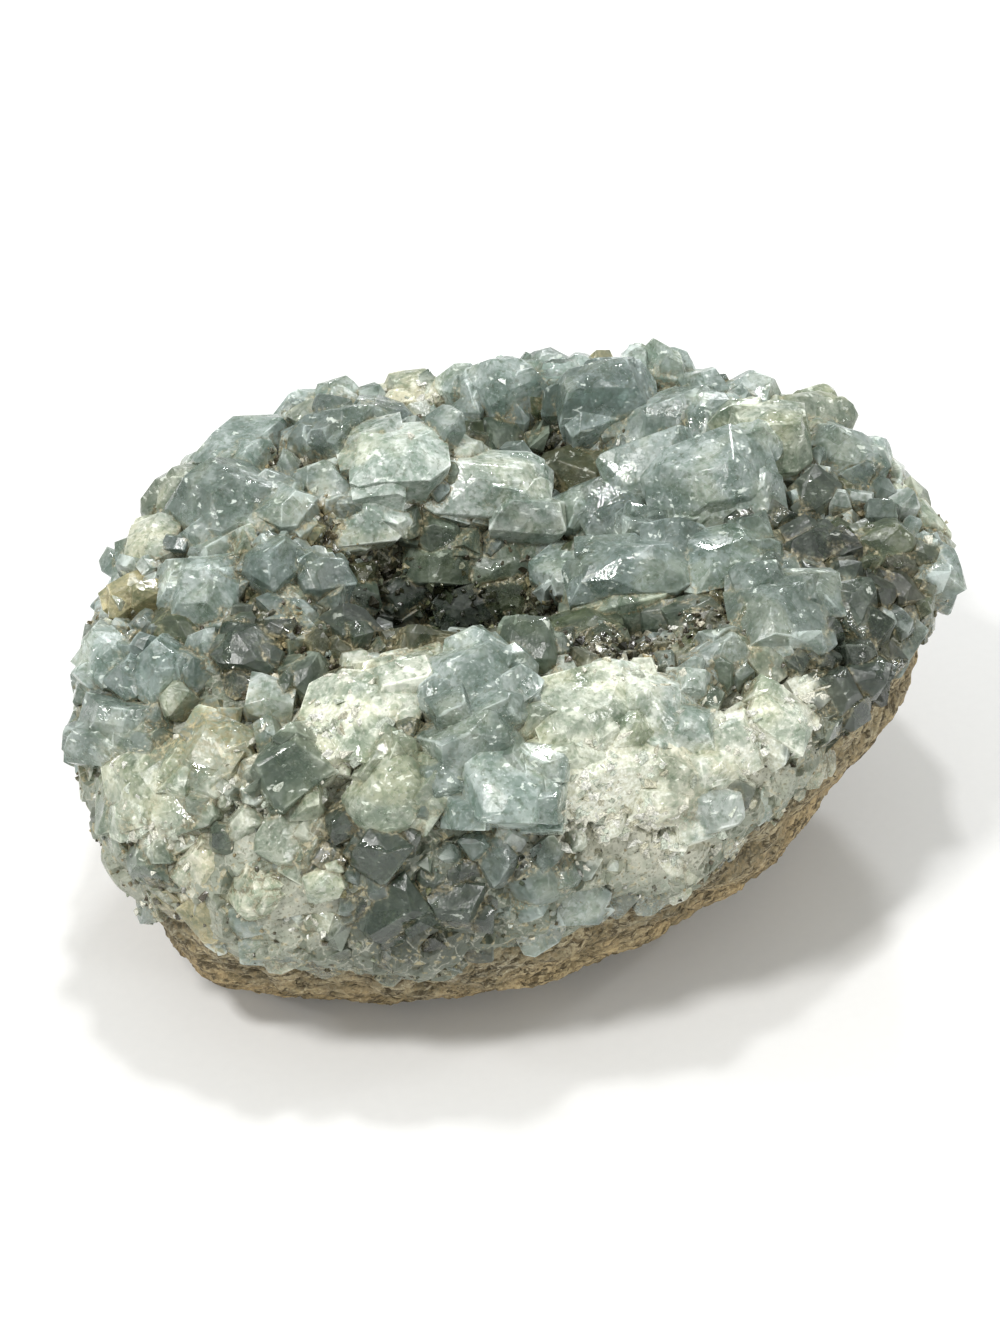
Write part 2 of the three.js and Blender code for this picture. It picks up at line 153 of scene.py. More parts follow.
# Colour of a crystal, and how milky it is.
TINTS = {
    "clear": ((0.42, 0.497, 0.468), 0.42),
    "pale": ((0.50, 0.583, 0.560), 0.52),
    "milky": ((0.62, 0.685, 0.645), 0.64),
    "teal": ((0.34, 0.423, 0.405), 0.38),
    "dark": ((0.040, 0.068, 0.043), 0.34),
    "olive": ((0.11, 0.142, 0.058), 0.42),
    "green": ((0.52, 0.565, 0.455), 0.58),
    "white": ((0.66, 0.69, 0.59), 0.75),
    "cream": ((0.70, 0.69, 0.55), 0.80),
    "brown": ((0.105, 0.105, 0.045), 0.55),
    "fern": ((0.34, 0.40, 0.31), 0.46),
    "moss": ((0.24, 0.30, 0.23), 0.42),
    "steel": ((0.40, 0.487, 0.480), 0.40),
    "gold": ((0.48, 0.43, 0.24), 0.70),
    "violet": ((0.088, 0.112, 0.083), 0.40),
    "grey": ((0.155, 0.205, 0.15), 0.42),
}
INFILL_SHADE = 0.85
# Points closer than this are one, and edges and faces over these sizes are split.
CLOSEST_POINTS = 0.002 * MM
LONGEST_EDGE, WIDEST_FACE = 3.2 * MM, 2.2 * MM**2

# The large crystals: bearing and level of the place, width, thickness, height, the bearing and the
# tilt from upright of the growing direction, the turn of the width from +X, and the tint.
LARGE_CRYSTALS = [
    # back rim, from the left
    (136, 2.62, 14, 10, 7, 136, 25, 40, "pale"),
    (118, 2.6, 12, 6, 7, 115, 30, 25, "pale"),
    (106, 2.66, 6, 5, 7, 100, 20, 10, "clear"),
    (96, 2.66, 10, 7, 7, 90, 20, 5, "cream"),
    (87, 2.72, 7, 6, 8, 90, 15, 30, "pale"),
    (80, 2.95, 9, 9, 10, 80, 10, 20, "pale"),
    (66, 2.68, 10, 8, 9, 66, 25, -10, "clear"),
    (57, 2.66, 5, 5, 8, 60, 25, 15, "gold"),
    (46, 2.7, 9, 7, 9, 46, 25, -25, "pale"),
    (30, 2.62, 8, 7, 7, 35, 30, -40, "pale"),
    # back wall of the hollow
    (53, 3.04, 13, 9, 11, 240, 10, -10, "steel"),
    (36, 3.0, 17, 9, 7, 250, 12, 10, "pale"),
    (14, 3.2, 19, 13, 14, 262, 45, 8, "pale"),
    (16, 2.88, 12, 10, 12, 250, 22, -15, "green"),
    (52, 3.36, 12, 8, 8, 240, 25, -40, "brown"),
    (27, 3.52, 11, 10, 8, 250, 20, 10, "teal"),
    (355, 3.47, 12, 10, 9, 255, 35, -20, "clear"),
    (18, 3.83, 8, 8, 8, 250, 20, 30, "pale"),
    (327, 3.53, 15, 9, 8, 255, 15, -15, "teal", 233, 42, 0.17),
    (356, 3.16, 8, 8, 7, 230, 15, 40, "dark", 230, 43, 0.2),
    (338, 3.22, 14, 10, 8, 260, 15, 0, "teal"),
    (4, 2.82, 7, 6, 6, 200, 20, 20, "violet"),
    # ridge across the hollow
    (104, 3.52, 18, 11, 8, 270, 22, -15, "milky", 256, 25, 0.05),
    (134, 3.3, 14, 11, 6, 250, 10, -10, "milky"),
    (150, 3.22, 11, 9, 6, 265, 35, -5, "milky"),
    # right-hand rim
    (12, 2.62, 11, 8, 7, 20, 20, -30, "pale"),
    (10, 2.34, 8, 6, 4, 15, 40, -60, "pale"),
    (2, 2.3, 8, 7, 4, 0, 45, -80, "green"),
    (350, 2.26, 8, 6, 6, 345, 45, 80, "pale"),
    (350, 2.6, 9, 7, 6, 200, 10, 10, "olive"),
    (334, 2.56, 10, 7, 7, 200, 20, 50, "dark"),
    (322, 2.82, 14, 13, 9, 270, 15, -10, "clear"),
    (318, 2.32, 10, 8, 6, 310, 45, 30, "dark"),
    (326, 2.28, 8, 6, 6, 325, 50, 60, "dark"),
    # left-hand shoulder
    (162, 2.94, 7, 7, 7, 250, 15, 45, "clear"),
    (150, 3.04, 7, 7, 6, 250, 15, 10, "pale"),
    (158, 2.76, 14, 13, 9, 200, 15, 25, "clear"),
    (180, 2.7, 10, 10, 7, 230, 25, -20, "pale"),
    (180, 2.9, 8, 7, 8, 270, 10, 35, "teal"),
    (162, 2.52, 9, 8, 6, 170, 25, 60, "white"),
    (171, 2.46, 7, 6, 6, 180, 35, 0, "gold"),
    (184, 3, 8, 7, 7, 0, 15, 20, "teal"),
    (182, 2.38, 9, 7, 8, 190, 35, -70, "pale"),
    (190, 2.52, 10, 9, 8, 220, 20, 30, "teal"),
    (192, 2.32, 12, 8, 7, 215, 42, -40, "clear"),
    (184, 2.6, 7, 7, 5, 180, 10, 50, "olive"),
    (198, 2.74, 9, 7, 6, 200, 10, -30, "dark"),
    (182, 1.98, 6, 5, 5, 185, 85, 10, "clear"),
    # front rim, from the left
    (206, 2.95, 7, 6, 6, 45, 20, 20, "dark"),
    (228, 2.84, 11, 9, 6, 250, 10, 0, "white"),
    (244, 2.84, 13, 11, 9, 250, 5, 20, "pale"),
    (254, 3.06, 8, 7, 7, 80, 10, -20, "grey"),
    (268, 2.72, 14, 12, 8, 270, 25, 5, "green"),
    (283, 2.68, 13, 11, 8, 280, 25, -20, "milky"),
    (246, 2.66, 12, 11, 9, 255, 45, 10, "clear"),
    (253, 2.54, 12, 10, 12, 264, 62, -15, "pale", 235, 38, 0.16),
    (275, 2.5, 19, 10, 8, 272, 52, -10, "cream"),
    (220, 2.54, 9, 8, 10, 230, 40, 15, "grey", 238, 37, 0.14),
    (224, 2.68, 13, 11, 7, 230, 20, -35, "white"),
    (208, 2.48, 11, 9, 6, 215, 30, 40, "green"),
    (202, 2.32, 14, 11, 6, 208, 50, -20, "green"),
    (235, 2.5, 12, 9, 7, 238, 52, 30, "green"),
    (294, 2.46, 9, 8, 7, 290, 45, 15, "white"),
    (305, 2.46, 9, 7, 7, 300, 42, -30, "white"),
    (290, 2.28, 8, 7, 6, 288, 65, 10, "milky"),
    # front face under the rim
    (236, 2.34, 7, 6, 6, 240, 62, 30, "dark"),
    (229, 2.24, 6, 5, 5, 230, 66, -10, "white"),
    (238, 2.16, 10, 8, 5, 240, 76, 10, "dark"),
    (247, 2.16, 8, 7, 5, 248, 78, -25, "dark"),
    (260, 2.2, 8, 7, 5, 262, 76, 20, "clear"),
    (268, 2.06, 7, 6, 5, 268, 84, -10, "pale"),
    (221, 2.18, 7, 6, 5, 224, 74, 15, "cream"),
    (206, 2.12, 8, 6, 5, 208, 74, -30, "grey"),
]

# More crystals down in the hollow, and then those of its pit, told the same way.
HOLLOW_CRYSTALS = [
    (144, 3.56, 11, 8, 5, 262, 55, -10, "moss"),
    (157, 3.44, 8, 7, 4, 270, 60, 25, "dark"),
    (110, 3.74, 10, 7, 4, 265, 45, 15, "moss"),
    (62, 3.72, 8, 6, 4, 250, 30, -20, "teal"),
    (26, 3.74, 7, 6, 6, 230, 25, 10, "olive"),
    (162, 3.6, 7, 6, 3, 280, 40, 40, "dark"),
    (318, 3.58, 15, 10, 4, 140, 20, -8, "fern"),
    (172, 3.2, 8, 6, 4, 300, 40, 10, "grey"),
]
DEEP_CRYSTALS = [
    (166, 3.36, 11, 8, 3, 285, 55, -15, "dark"),
    (152, 3.74, 12, 8, 3, 268, 62, 8, "dark"),
    (128, 3.84, 9, 7, 3, 262, 58, -20, "olive"),
    (92, 3.86, 9, 8, 3, 255, 40, 20, "moss"),
    (45, 3.86, 9, 7, 3, 200, 25, 35, "fern"),
]

# Tints of the crystals between them: by where they grow, and in places of their own.
TINTS_BY_ZONE = {
    "pit": ["dark", "teal", "olive", "brown", "grey"],
    "wall": ["clear", "teal", "grey", "olive", "clear", "brown"],
    "rim": ["pale", "clear", "green", "clear", "teal", "milky"],
    "front": ["pale", "milky", "clear", "green", "white", "grey"],
    "low": ["grey", "clear", "pale", "teal", "white", "green"],
}
TINTS_BY_PLACE = [
    ((-3, 12, 40), 12, ["dark", "dark", "olive", "brown"]),
    ((12, 4, 42), 12, ["brown", "olive", "dark", "grey"]),
    ((19, -20, 50), 8, ["brown", "dark", "olive"]),
    ((-24, -9, 52), 10, ["grey", "teal", "brown", "violet", "dark"]),
    ((32, -20, 52), 10, ["grey", "brown", "olive", "clear"]),
    ((54, -29, 45), 11, ["dark", "grey", "olive", "dark"]),
    ((65, -8, 50), 10, ["olive", "dark", "brown", "olive"]),
    ((38, 19, 52), 7, ["brown", "gold", "olive", "pale"]),
    ((-18, -44, 33), 14, ["dark", "grey", "clear", "violet", "teal"]),
    ((5, -46, 28), 11, ["clear", "pale", "grey", "milky"]),
    ((-44, -33, 28), 10, ["cream", "gold", "pale", "white"]),
    ((-53, -17, 33), 10, ["grey", "green", "pale", "olive"]),
    ((27, -41, 41), 5, ["grey", "dark", "violet"]),
    ((32, -41, 26), 15, ["cream", "white", "green", "pale", "grey", "white"]),
    ((47, -36, 32), 12, ["white", "cream", "green", "olive", "pale", "cream"]),
    ((62, -23, 33), 9, ["green", "olive", "pale", "grey", "green", "cream"]),
]

# The scattered crystals: their colours, and the share of them up to each colour.
DRUSE_SEED = 23
DRUSE_TINTS = [
    (0.07, 0.055, 0.035), (0.12, 0.10, 0.06), (0.17, 0.165, 0.11), (0.36, 0.30, 0.17),
    (0.58, 0.54, 0.42), (0.24, 0.27, 0.24), (0.72, 0.72, 0.66),
]
DRUSE_SHARES = [0.28, 0.5, 0.66, 0.78, 0.86, 0.95, 1.01]
SUGAR_TINTS = [
    (0.86, 0.85, 0.73), (0.92, 0.92, 0.84), (0.70, 0.76, 0.65), (0.66, 0.64, 0.50),
    (0.50, 0.54, 0.44),
]
SUGAR_SHARES = [0.34, 0.56, 0.80, 0.92, 1.01]
SUGAR_LARGEST = 2.4
# How far out of the surface they stand, as a share of their size, and how much those in the
# darkening patches lose: painted shade in the hollow and its pit, darker grains elsewhere.
DRUSE_RAISED, SUGAR_RAISED = 0.1, -0.25
SHADED_DRUSE_LOSS = (0.5, 0.2, 0.4)

# Soft patches over the crust: x, y, z, reach in millimetres, and strength.
FROST_COLOUR = (0.70, 0.70, 0.58)
FROSTED = [
    (13, -40, 44, 11, 0.95), (21, -43, 37, 7, 1.0), (-21, -27, 50, 9, 0.8), (-12, -22, 53, 6, 0.8),
    (33, -38, 45, 8, 0.8), (41, -34, 47, 7, 0.7), (18, -31, 52, 9, 0.6), (-31, -40, 33, 7, 0.45),
    (-46, -17, 43, 8, 0.5), (-3, 23, 59, 7, 0.45), (9, 46, 54, 7, 0.7), (-49, -23, 24, 8, 0.3),
    (44, -32, 47, 6, 0.6), (-16, 29, 58, 5, 0.5), (70, -6, 49, 5, 0.4), (-34, -28, 44, 9, 0.5),
    (-8, -34, 49, 7, 0.3), (-43, -33, 27, 8, 0.3), (-12, 22, 57, 6, 0.4), (-45, -24, 38, 8, 0.6),
    (-32, -30, 44, 6, 0.6), (31, -41, 21, 8, 0.5),
    (47, -35, 29, 8, 0.5), (60, -24, 34, 6, 0.35),
]
RUSTED = [
    (-37, -20, 47, 7, 1.0), (-16, 17, 56, 5, 0.8), (-16, 29, 58, 4, 0.7), (37, 19, 53, 4, 0.6),
    (-24, -8, 53, 5, 0.5), (-43, 5, 50, 4, 0.8), (9, 46, 52, 4, 0.5), (-43, -33, 24, 6, 0.6),
    (29, 29, 51, 4, 0.5),
]
# Darkening patches: painted shade in the hollow, its pit and the slit; darker crystals on the
# right-hand rim and low on the front.
SHADE_AND_DARK_PATCHES = [
    (-4, 10, 37, 11, 1.0), (6, 5, 39, 11, 1.0), (19, -20, 48, 7, 0.9), (62, -11, 50, 11, 0.95),
    (54, -30, 45, 11, 0.95), (0, -44, 37, 5, 1.0), (44, 9, 48, 5, 0.6), (-18, -9, 50, 6, 0.6),
    (-16, -46, 31, 12, 0.7), (-27, -39, 40, 4, 0.5), (27, -41, 40, 4, 0.6),
    (-9, -8, 50, 6, 0.9), (-6, -9, 54, 5, 0.9), (4, -12, 50, 5, 0.8), (-6, 2, 40, 9, 1.0),
]
DRUSY = [
    (-3, 12, 39, 14, 1.0), (8, 6, 41, 13, 1.0), (18, 7, 42, 11, 1.0), (19, -20, 51, 8, 1.0),
    (-24, -9, 53, 9, 0.7), (32, -20, 52, 8, 0.7), (44, 9, 50, 7, 0.7), (37, 19, 53, 6, 0.8),
    (-16, 17, 56, 6, 0.8), (-16, 29, 58, 5, 0.8), (29, 29, 51, 7, 0.6), (61, -12, 50, 6, 0.6),
    (-43, 29, 45, 5, 0.5), (0, -44, 38, 4, 0.7), (54, -24, 47, 6, 0.4),
]

# ---- The stage ----

FLOOR_SIDE, FLOOR_CELLS, FLOOR_DROP = 1600, 8, 0.05
AIR_COLOUR = (0.985, 1.0, 0.96, 1)
# Name, place and size in metres, watts and colour.
LAMPS = [
    ("window_light", (-0.42, -0.22, 0.8), (0.13, 0.13), 4.4, (1.0, 0.99, 0.97)),
    ("back_light", (0.35, 0.7, 0.55), (0.14, 0.1), 3.0, (0.97, 0.99, 1.0)),
    ("front_light", (0.45, -0.7, 0.35), (0.14, 0.2), 1.35, (1.0, 0.99, 0.97)),
    ("top_light", (0.05, 0.1, 0.9), (0.07, 0.07), 2.0, (1.0, 1.0, 1.0)),
    ("left_light", (-0.8, 0.15, 0.45), (0.07, 0.07), 0.9, (1.0, 1.0, 1.0)),
    ("right_light", (0.75, -0.1, 0.6), (0.07, 0.07), 0.7, (1.0, 1.0, 1.0)),
]

# ---- The body's surface, for arrays of bearings and levels ----


def at_bearing(stations, degrees):
    """A smooth closed curve through evenly spaced stations."""
    values = np.asarray(stations, float)
    n = len(values)
    place = (np.asarray(degrees, float) / 360 * n + n) % n
    i = np.floor(place).astype(int)
    t = place - i
    a, b, c, d = (values[(i + k + n) % n] for k in (-1, 0, 1, 2))
    return b + 0.5 * t * (c - a + t * (2 * a - 5 * b + 4 * c - d + t * (3 * (b - c) + d - a)))


def rise(value, low, high):
    """0 below low, 1 above high, and a smooth rise between them."""
    t = np.clip((np.asarray(value, float) - low) / (high - low), 0, 1)
    return t * t * (3 - 2 * t)


def relief(x, y):
    """Height that the rises and pits add over places in plan."""
    total = 0
    for bx, by, height, reach in RELIEF:
        away = np.hypot(x - bx, y - by) / (reach / REACH_OF_SIGMA)
        total = total + height * np.exp(-0.5 * away**2)
    return total


def body_point(degrees, level):
    """Level 0 to 1 is the foot, 1 to 2 the underside, 2 to 3 the shoulder, 3 to 4 the hollow."""
    degrees, level = np.broadcast_arrays(np.asarray(degrees, float), np.asarray(level, float))
    belly, belly_z = at_bearing(BELLY_RADIUS, degrees), at_bearing(BELLY_HEIGHT, degrees)
    crest, crest_z = at_bearing(CREST_RADIUS, degrees), at_bearing(CREST_HEIGHT, degrees)
    foot = at_bearing(FOOT_RADIUS, degrees)
    part = np.clip(np.floor(level), 0, 3).astype(int)
    share = level - part
    sine, cosine = np.sin(share * math.pi / 2), np.cos(share * math.pi / 2)
    radius = np.choose(part, [
        foot * share, foot + (belly - foot) * sine,
        crest + (belly - crest) * cosine, crest * (1 - share),
    ])
    height = np.choose(part, [
        0 * share, belly_z * (1 - cosine), belly_z + (crest_z - belly_z) * sine,
        HOLLOW_FLOOR + (crest_z - HOLLOW_FLOOR) * (0.5 + 0.5 * np.cos(math.pi * share)),
    ])
    centre = [
        np.choose(part, [
            f + 0 * share, f + (b - f) * sine, b + (h - b) * (1 - cosine), h + 0 * share,
        ])
        for f, b, h in zip(FOOT_CENTRE, BELLY_CENTRE, HOLLOW_CENTRE)
    ]
    angle = np.radians(degrees)
    x = centre[0] + radius * np.cos(angle)
    y = centre[1] + radius * np.sin(angle)
    return np.stack([x, y, height + rise(level, *RELIEF_LEVELS) * relief(x, y)], -1)


def unit(v):
    """Vectors brought to length 1."""
    return v / np.maximum(np.linalg.norm(v, axis=-1, keepdims=True), 1e-12)


def body_frame(degrees, level):
    """Directions of growing bearing and growing level, and the outward normal."""
    step = 0.01
    low = np.clip(level, step, 4 - 2 * step) - step
    at = low + step
    degrees = np.asarray(degrees, float)
    around = unit(body_point(degrees + 1, at) - body_point(degrees - 1, at))
    up = unit(body_point(degrees, low + 2 * step) - body_point(degrees, low))
    return around, up, unit(np.cross(around, up))


def crust_edge(degrees):
    """The level of the crust's wavy edge."""
    degrees = np.asarray(degrees, float)
    wave = sum(size * np.sin(np.radians(n * degrees + start)) for n, size, start in EDGE_WAVES)
    return at_bearing(CRUST_EDGE, degrees) + wave


def swell(points):
    """Height of the rind's low swells."""
    return sum(height * np.sin(points @ np.array(along) + start) for along, start, height in SWELLS)


def rind_offset(degrees, level):
    """The rind's own surface: swells where it is bare, and sunk under the crust."""
    bare = swell(body_point(degrees, level)) * rise(level, 1, SWELLS_FULL)
    under = np.clip((level - crust_edge(degrees)) / BED_RAMP, 0, 1)
    return bare * (1 - under) - BED_DEPTH * under


def near(points, patches):
    """How strongly the patches show at each point, from 0 to 1."""
    total = np.zeros(len(points))
    for x, y, z, reach, strength in patches:
        away = np.linalg.norm(points - (x, y, z), axis=1) / reach
        total = np.maximum(total, strength * np.exp(-(away**3)))
    return total


# ---- Crystals: where they grow ----


def habit(draw):
    """The shape of a crystal's top, from a function that draws a number in a range."""
    return {"slope": draw(*SLOPE), "ridge": draw(*RIDGE), "skew": draw(*SKEW)}


def random_stream(seed):
    """A repeatable stream of numbers between 0 and 1."""
    state = seed
    while True:
        state = (state * STREAM_FACTOR + STREAM_STEP) % STREAM_SIZE
        yield state / STREAM_SIZE


def told(row):
    """A large crystal from its row in the tables."""
    degrees, level, width, thickness, height, aim, tilt, twist, tint, *broken = row
    return dict(
        spot=body_point(degrees, level), axis=direction(aim, tilt), width=width, level=level,
        thickness=thickness, height=height, twist=twist, tint=tint, degrees=degrees, broken=broken,
    )


def direction(aim, tilt):
    """The direction with a bearing and a tilt from upright, in degrees."""
    polar, bearing = math.radians(tilt), math.radians(aim)
    return np.array((
        math.sin(polar) * math.cos(bearing), math.sin(polar) * math.sin(bearing), math.cos(polar),
    ))


def broken_face(crystal):
    """The plane that a large crystal is broken at: its direction, and how far out it lies."""
    aim, tilt, share = crystal["broken"]
    normal = direction(aim, tilt)
    lean = float(normal @ crystal["axis"])
    reach = crystal["height"] * lean + 0.42 * crystal["width"] * math.sqrt(1 - lean * lean)
    return normal, normal @ crystal["spot"] + reach - share * crystal["width"]


def grown_crystals():
    """Every crystal of the crust: the large ones, then those between them."""
    stream = random_stream(CRYSTAL_SEED)

    def draw(low=0, high=1):
        return low + (high - low) * next(stream)

    grown = []
    for row in LARGE_CRYSTALS:
        grown.append(dict(told(row), **habit(draw)))
    spots = np.array([c["spot"] for c in grown])
    widths = np.array([c["width"] for c in grown], float)
    for _ in range(DARTS):
        degrees, level, size = draw(0, 360), draw(LOWEST_DART, 4), draw(*WIDTH_SPREAD)
        edge = float(crust_edge(degrees))
        if level < edge + EDGE_ROOM:
            continue
        spot = body_point(degrees, level)
        span = EDGE_SPAN + LOW_EDGE_SPAN * (1 - rise(edge, *LOW_EDGE))
        depth = -float(relief(spot[0], spot[1])) if level > RELIEF_LEVELS[0] else 0
        sunk = float(rise(depth, *PIT_DEPTHS))
        full = FULL_WIDTH + (PIT_WIDTH - FULL_WIDTH) * sunk
        width = (EDGE_WIDTH + (full - EDGE_WIDTH) * float(rise(level, edge, edge + span))) * size
        if (np.linalg.norm(spots - spot, axis=1) < SPACING * (widths + width) / 2).any():
            continue
        around, up, normal = body_frame(degrees, level)
        axis = unit(normal + around * draw(*LEAN) + up * draw(*LEAN))
        thickness, height = width * draw(*THICKNESS), width * draw(*HEIGHT)
        twist = draw(0, 360)
        grown.append(dict(
            spot=spot, axis=axis, width=width, thickness=thickness, height=height, twist=twist,
            tint=None, degrees=degrees, level=level, sunk=sunk, **habit(draw),
        ))
        spots = np.vstack([spots, spot])
        widths = np.append(widths, width)
    return grown


def tint_for(crystal, rng):
    """The tint of a crystal that has none of its own, by where it grows."""
    for place, reach, tints in TINTS_BY_PLACE:
        if np.linalg.norm(crystal["spot"] - place) < reach:
            return rng.choice(tints)
    degrees, level = crystal["degrees"] % 360, crystal["level"]
    if crystal["sunk"] > 0.4:
        zone = "pit"
    elif level > 3:
        zone = "wall"
    elif 195 < degrees < 315:
        zone = "front" if level > 2.35 else "low"
    else:
        zone = "rim"
    return rng.choice(TINTS_BY_ZONE[zone])


# ---- Making meshes ----


def new_object(name, points, faces, attributes=None):
    """A mesh object from points in millimetres, with float or colour attributes of its points."""
    mesh = bpy.data.meshes.new(name)
    mesh.from_pydata([tuple(p) for p in np.asarray(points) * MM], [], faces)
    for key, values in (attributes or {}).items():
        paint(mesh, key, values)
    mesh.update()
    made = bpy.data.objects.new(name, mesh)
    bpy.context.scene.collection.objects.link(made)
    return made


def paint(mesh, key, values, domain="POINT"):
    """Gives a mesh's points or faces an attribute: one number, or a colour of three."""
    values = np.asarray(values, np.float32)
    if values.ndim == 2:
        layer = mesh.attributes.new(key, "FLOAT_COLOR", domain)
        colours = np.hstack([values, np.ones((len(values), 1), np.float32)])
        layer.data.foreach_set("color", colours.ravel())
    else:
        layer = mesh.attributes.new(key, "FLOAT", domain)
        layer.data.foreach_set("value", values)


def read(items, key, size=1):
    """The values of all points or faces of a mesh in one array."""
    values = np.zeros(size * len(items))
    items.foreach_get(key, values)
    return values.reshape(-1, size) if size > 1 else values


def finish_piece(made, material, node, smooth=False):
    """Gives a piece its material and its place in the model's tree."""
    made.data.materials.clear()
    made.data.materials.append(material)
    made.data.polygons.foreach_set("use_smooth", [smooth] * len(made.data.polygons))
    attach(made, "root")
    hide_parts(node)


def rings_to_faces(rings, around):
    """Faces of a surface of rings of points, closed by one more point at each end."""

    def at(ring, i):
        return ring * around + i % around

    faces = []
    for ring in range(rings - 1):
        for i in range(around):
            faces.append((at(ring, i), at(ring, i + 1), at(ring + 1, i + 1), at(ring + 1, i)))
    first, last = rings * around, rings * around + 1
    for i in range(around):
        faces.append((first, at(0, i + 1), at(0, i)))
        faces.append((last, at(rings - 1, i), at(rings - 1, i + 1)))
    return faces


# ---- Shader maths ----


class Signal:
    """A socket of a material's nodes. Sums and products of signals add Math nodes."""

    def __init__(self, nodes, socket):
        self.nodes, self.socket = nodes, socket

    def maths(self, operation, first, second):
        return self.nodes.add("Math", {"operation": operation}, {0: first, 1: second})

    def __add__(self, other):
        return self.maths("ADD", self, other)

    __radd__ = __add__

    def __sub__(self, other):
        return self.maths("SUBTRACT", self, other)

    def __rsub__(self, other):
        return self.maths("SUBTRACT", other, self)

    def __mul__(self, other):
        return self.maths("MULTIPLY", self, other)

    __rmul__ = __mul__

    def __pow__(self, other):
        return self.maths("POWER", self, other)

    def between(self, low, high):
        """0 below low, 1 above high, and a smooth rise between them."""
        settings = {"interpolation_type": "SMOOTHSTEP"}
        return self.nodes.add("MapRange", settings, {0: self, 1: low, 2: high})

    def most(self, other):
        return self.maths("MAXIMUM", self, other)


class Nodes:
    """The node tree of a new material."""

    def __init__(self, name):
        self.material = bpy.data.materials.new(name)
        self.material.use_nodes = True
        self.tree = self.material.node_tree
        self.tree.nodes.clear()

    def add(self, kind, settings=None, values=None, output=0):
        """Adds a node: its settings first, then its sockets' values or links. Gives an output."""
        made = self.tree.nodes.new("ShaderNode" + kind)
        for key, value in (settings or {}).items():
            setattr(made, key, value)
        for key, value in (values or {}).items():
            if isinstance(value, Signal):
                self.tree.links.new(value.socket, made.inputs[key])
            else:
                made.inputs[key].default_value = value
        return Signal(self, made.outputs[output])

    def mix(self, factor, first, second, blend="MIX"):
        """A colour between two."""
        first, second = (c if isinstance(c, Signal) else (*c, 1) for c in (first, second))
        settings = {"data_type": "RGBA", "blend_type": blend, "clamp_factor": True}
        return self.add("Mix", settings, {0: factor, 6: first, 7: second}, 2)

    def times(self, colour, factors):
        """A colour multiplied by another, channel by channel."""
        return self.mix(1.0, colour, factors, "MULTIPLY")

    def vector(self, operation, first, second=None, scale=None):
        """A Vector Math node."""
        values = {0: first, 1: second, "Scale": scale}
        values = {key: value for key, value in values.items() if value is not None}
        return self.add("VectorMath", {"operation": operation}, values)

    def pushed(self, start, colour, amount):
        """A vector moved by a colour, with grey as no move."""
        centred = self.vector("SUBTRACT", colour, (0.5, 0.5, 0.5))
        return self.vector("ADD", start, self.vector("SCALE", centred, scale=amount))

    def number(self, key):
        """An attribute of the mesh that holds a number."""
        return self.add("Attribute", {"attribute_name": key}, output="Fac")

    def colour(self, key):
        """An attribute of the mesh that holds a colour."""
        return self.add("Attribute", {"attribute_name": key}, output="Color")

    def place(self):
        """The point's place in the object."""
        return self.add("TexCoord", output="Object")

    def noise(self, place, pitch, detail=3, warp=0, output="Fac"):
        """Noise with bumps about pitch millimetres apart."""
        values = {"Vector": place, "Scale": 1 / (pitch * MM), "Detail": detail, "Distortion": warp}
        return self.add("TexNoise", values=values, output=output)

    def cells(self, place, pitch, output="Color", feature="F1"):
        """Irregular cells about pitch millimetres across."""
        values = {"Vector": place, "Scale": 1 / (pitch * MM)}
        return self.add("TexVoronoi", {"feature": feature}, values, output)

    def borders(self, place, pitch):
        """Distance to the borders between such cells, as a share of their size."""
        return self.cells(place, pitch, "Distance", "DISTANCE_TO_EDGE")

    def red(self, colour):
        """The first channel of a colour."""
        return self.add("SeparateColor", None, {0: colour})

    def warped(self, place, pitch, reach):
        """A place pushed about by noise."""
        return self.pushed(place, self.noise(place, pitch, 2, output="Color"), reach * MM)

    def tilted(self, colour, amount, normal=None):
        """The normal, turned by a colour that differs from facet to facet."""
        base = normal or self.add("NewGeometry", output="Normal")
        return self.vector("NORMALIZE", self.pushed(base, colour, amount))

    def bump(self, height, distance, strength=1, normal=None):
        """A bump of a height in millimetres."""
        values = {"Height": height, "Distance": distance * MM, "Strength": strength}
        if normal:
            values["Normal"] = normal
        return self.add("Bump", values=values)

    def principled(self, **values):
        """A Principled shader. Underscores in the names stand for spaces."""
        named = {key.replace("_", " "): value for key, value in values.items()}
        return self.add("BsdfPrincipled", values=named)

    def finish(self, surface, volume=None):
        """Joins the shaders to the output and gives the material."""
        values = {"Surface": surface}
        if volume:
            values["Volume"] = volume
        made = self.tree.nodes.new("ShaderNodeOutputMaterial")
        for key, value in values.items():
            self.tree.links.new(value.socket, made.inputs[key])
        return self.material


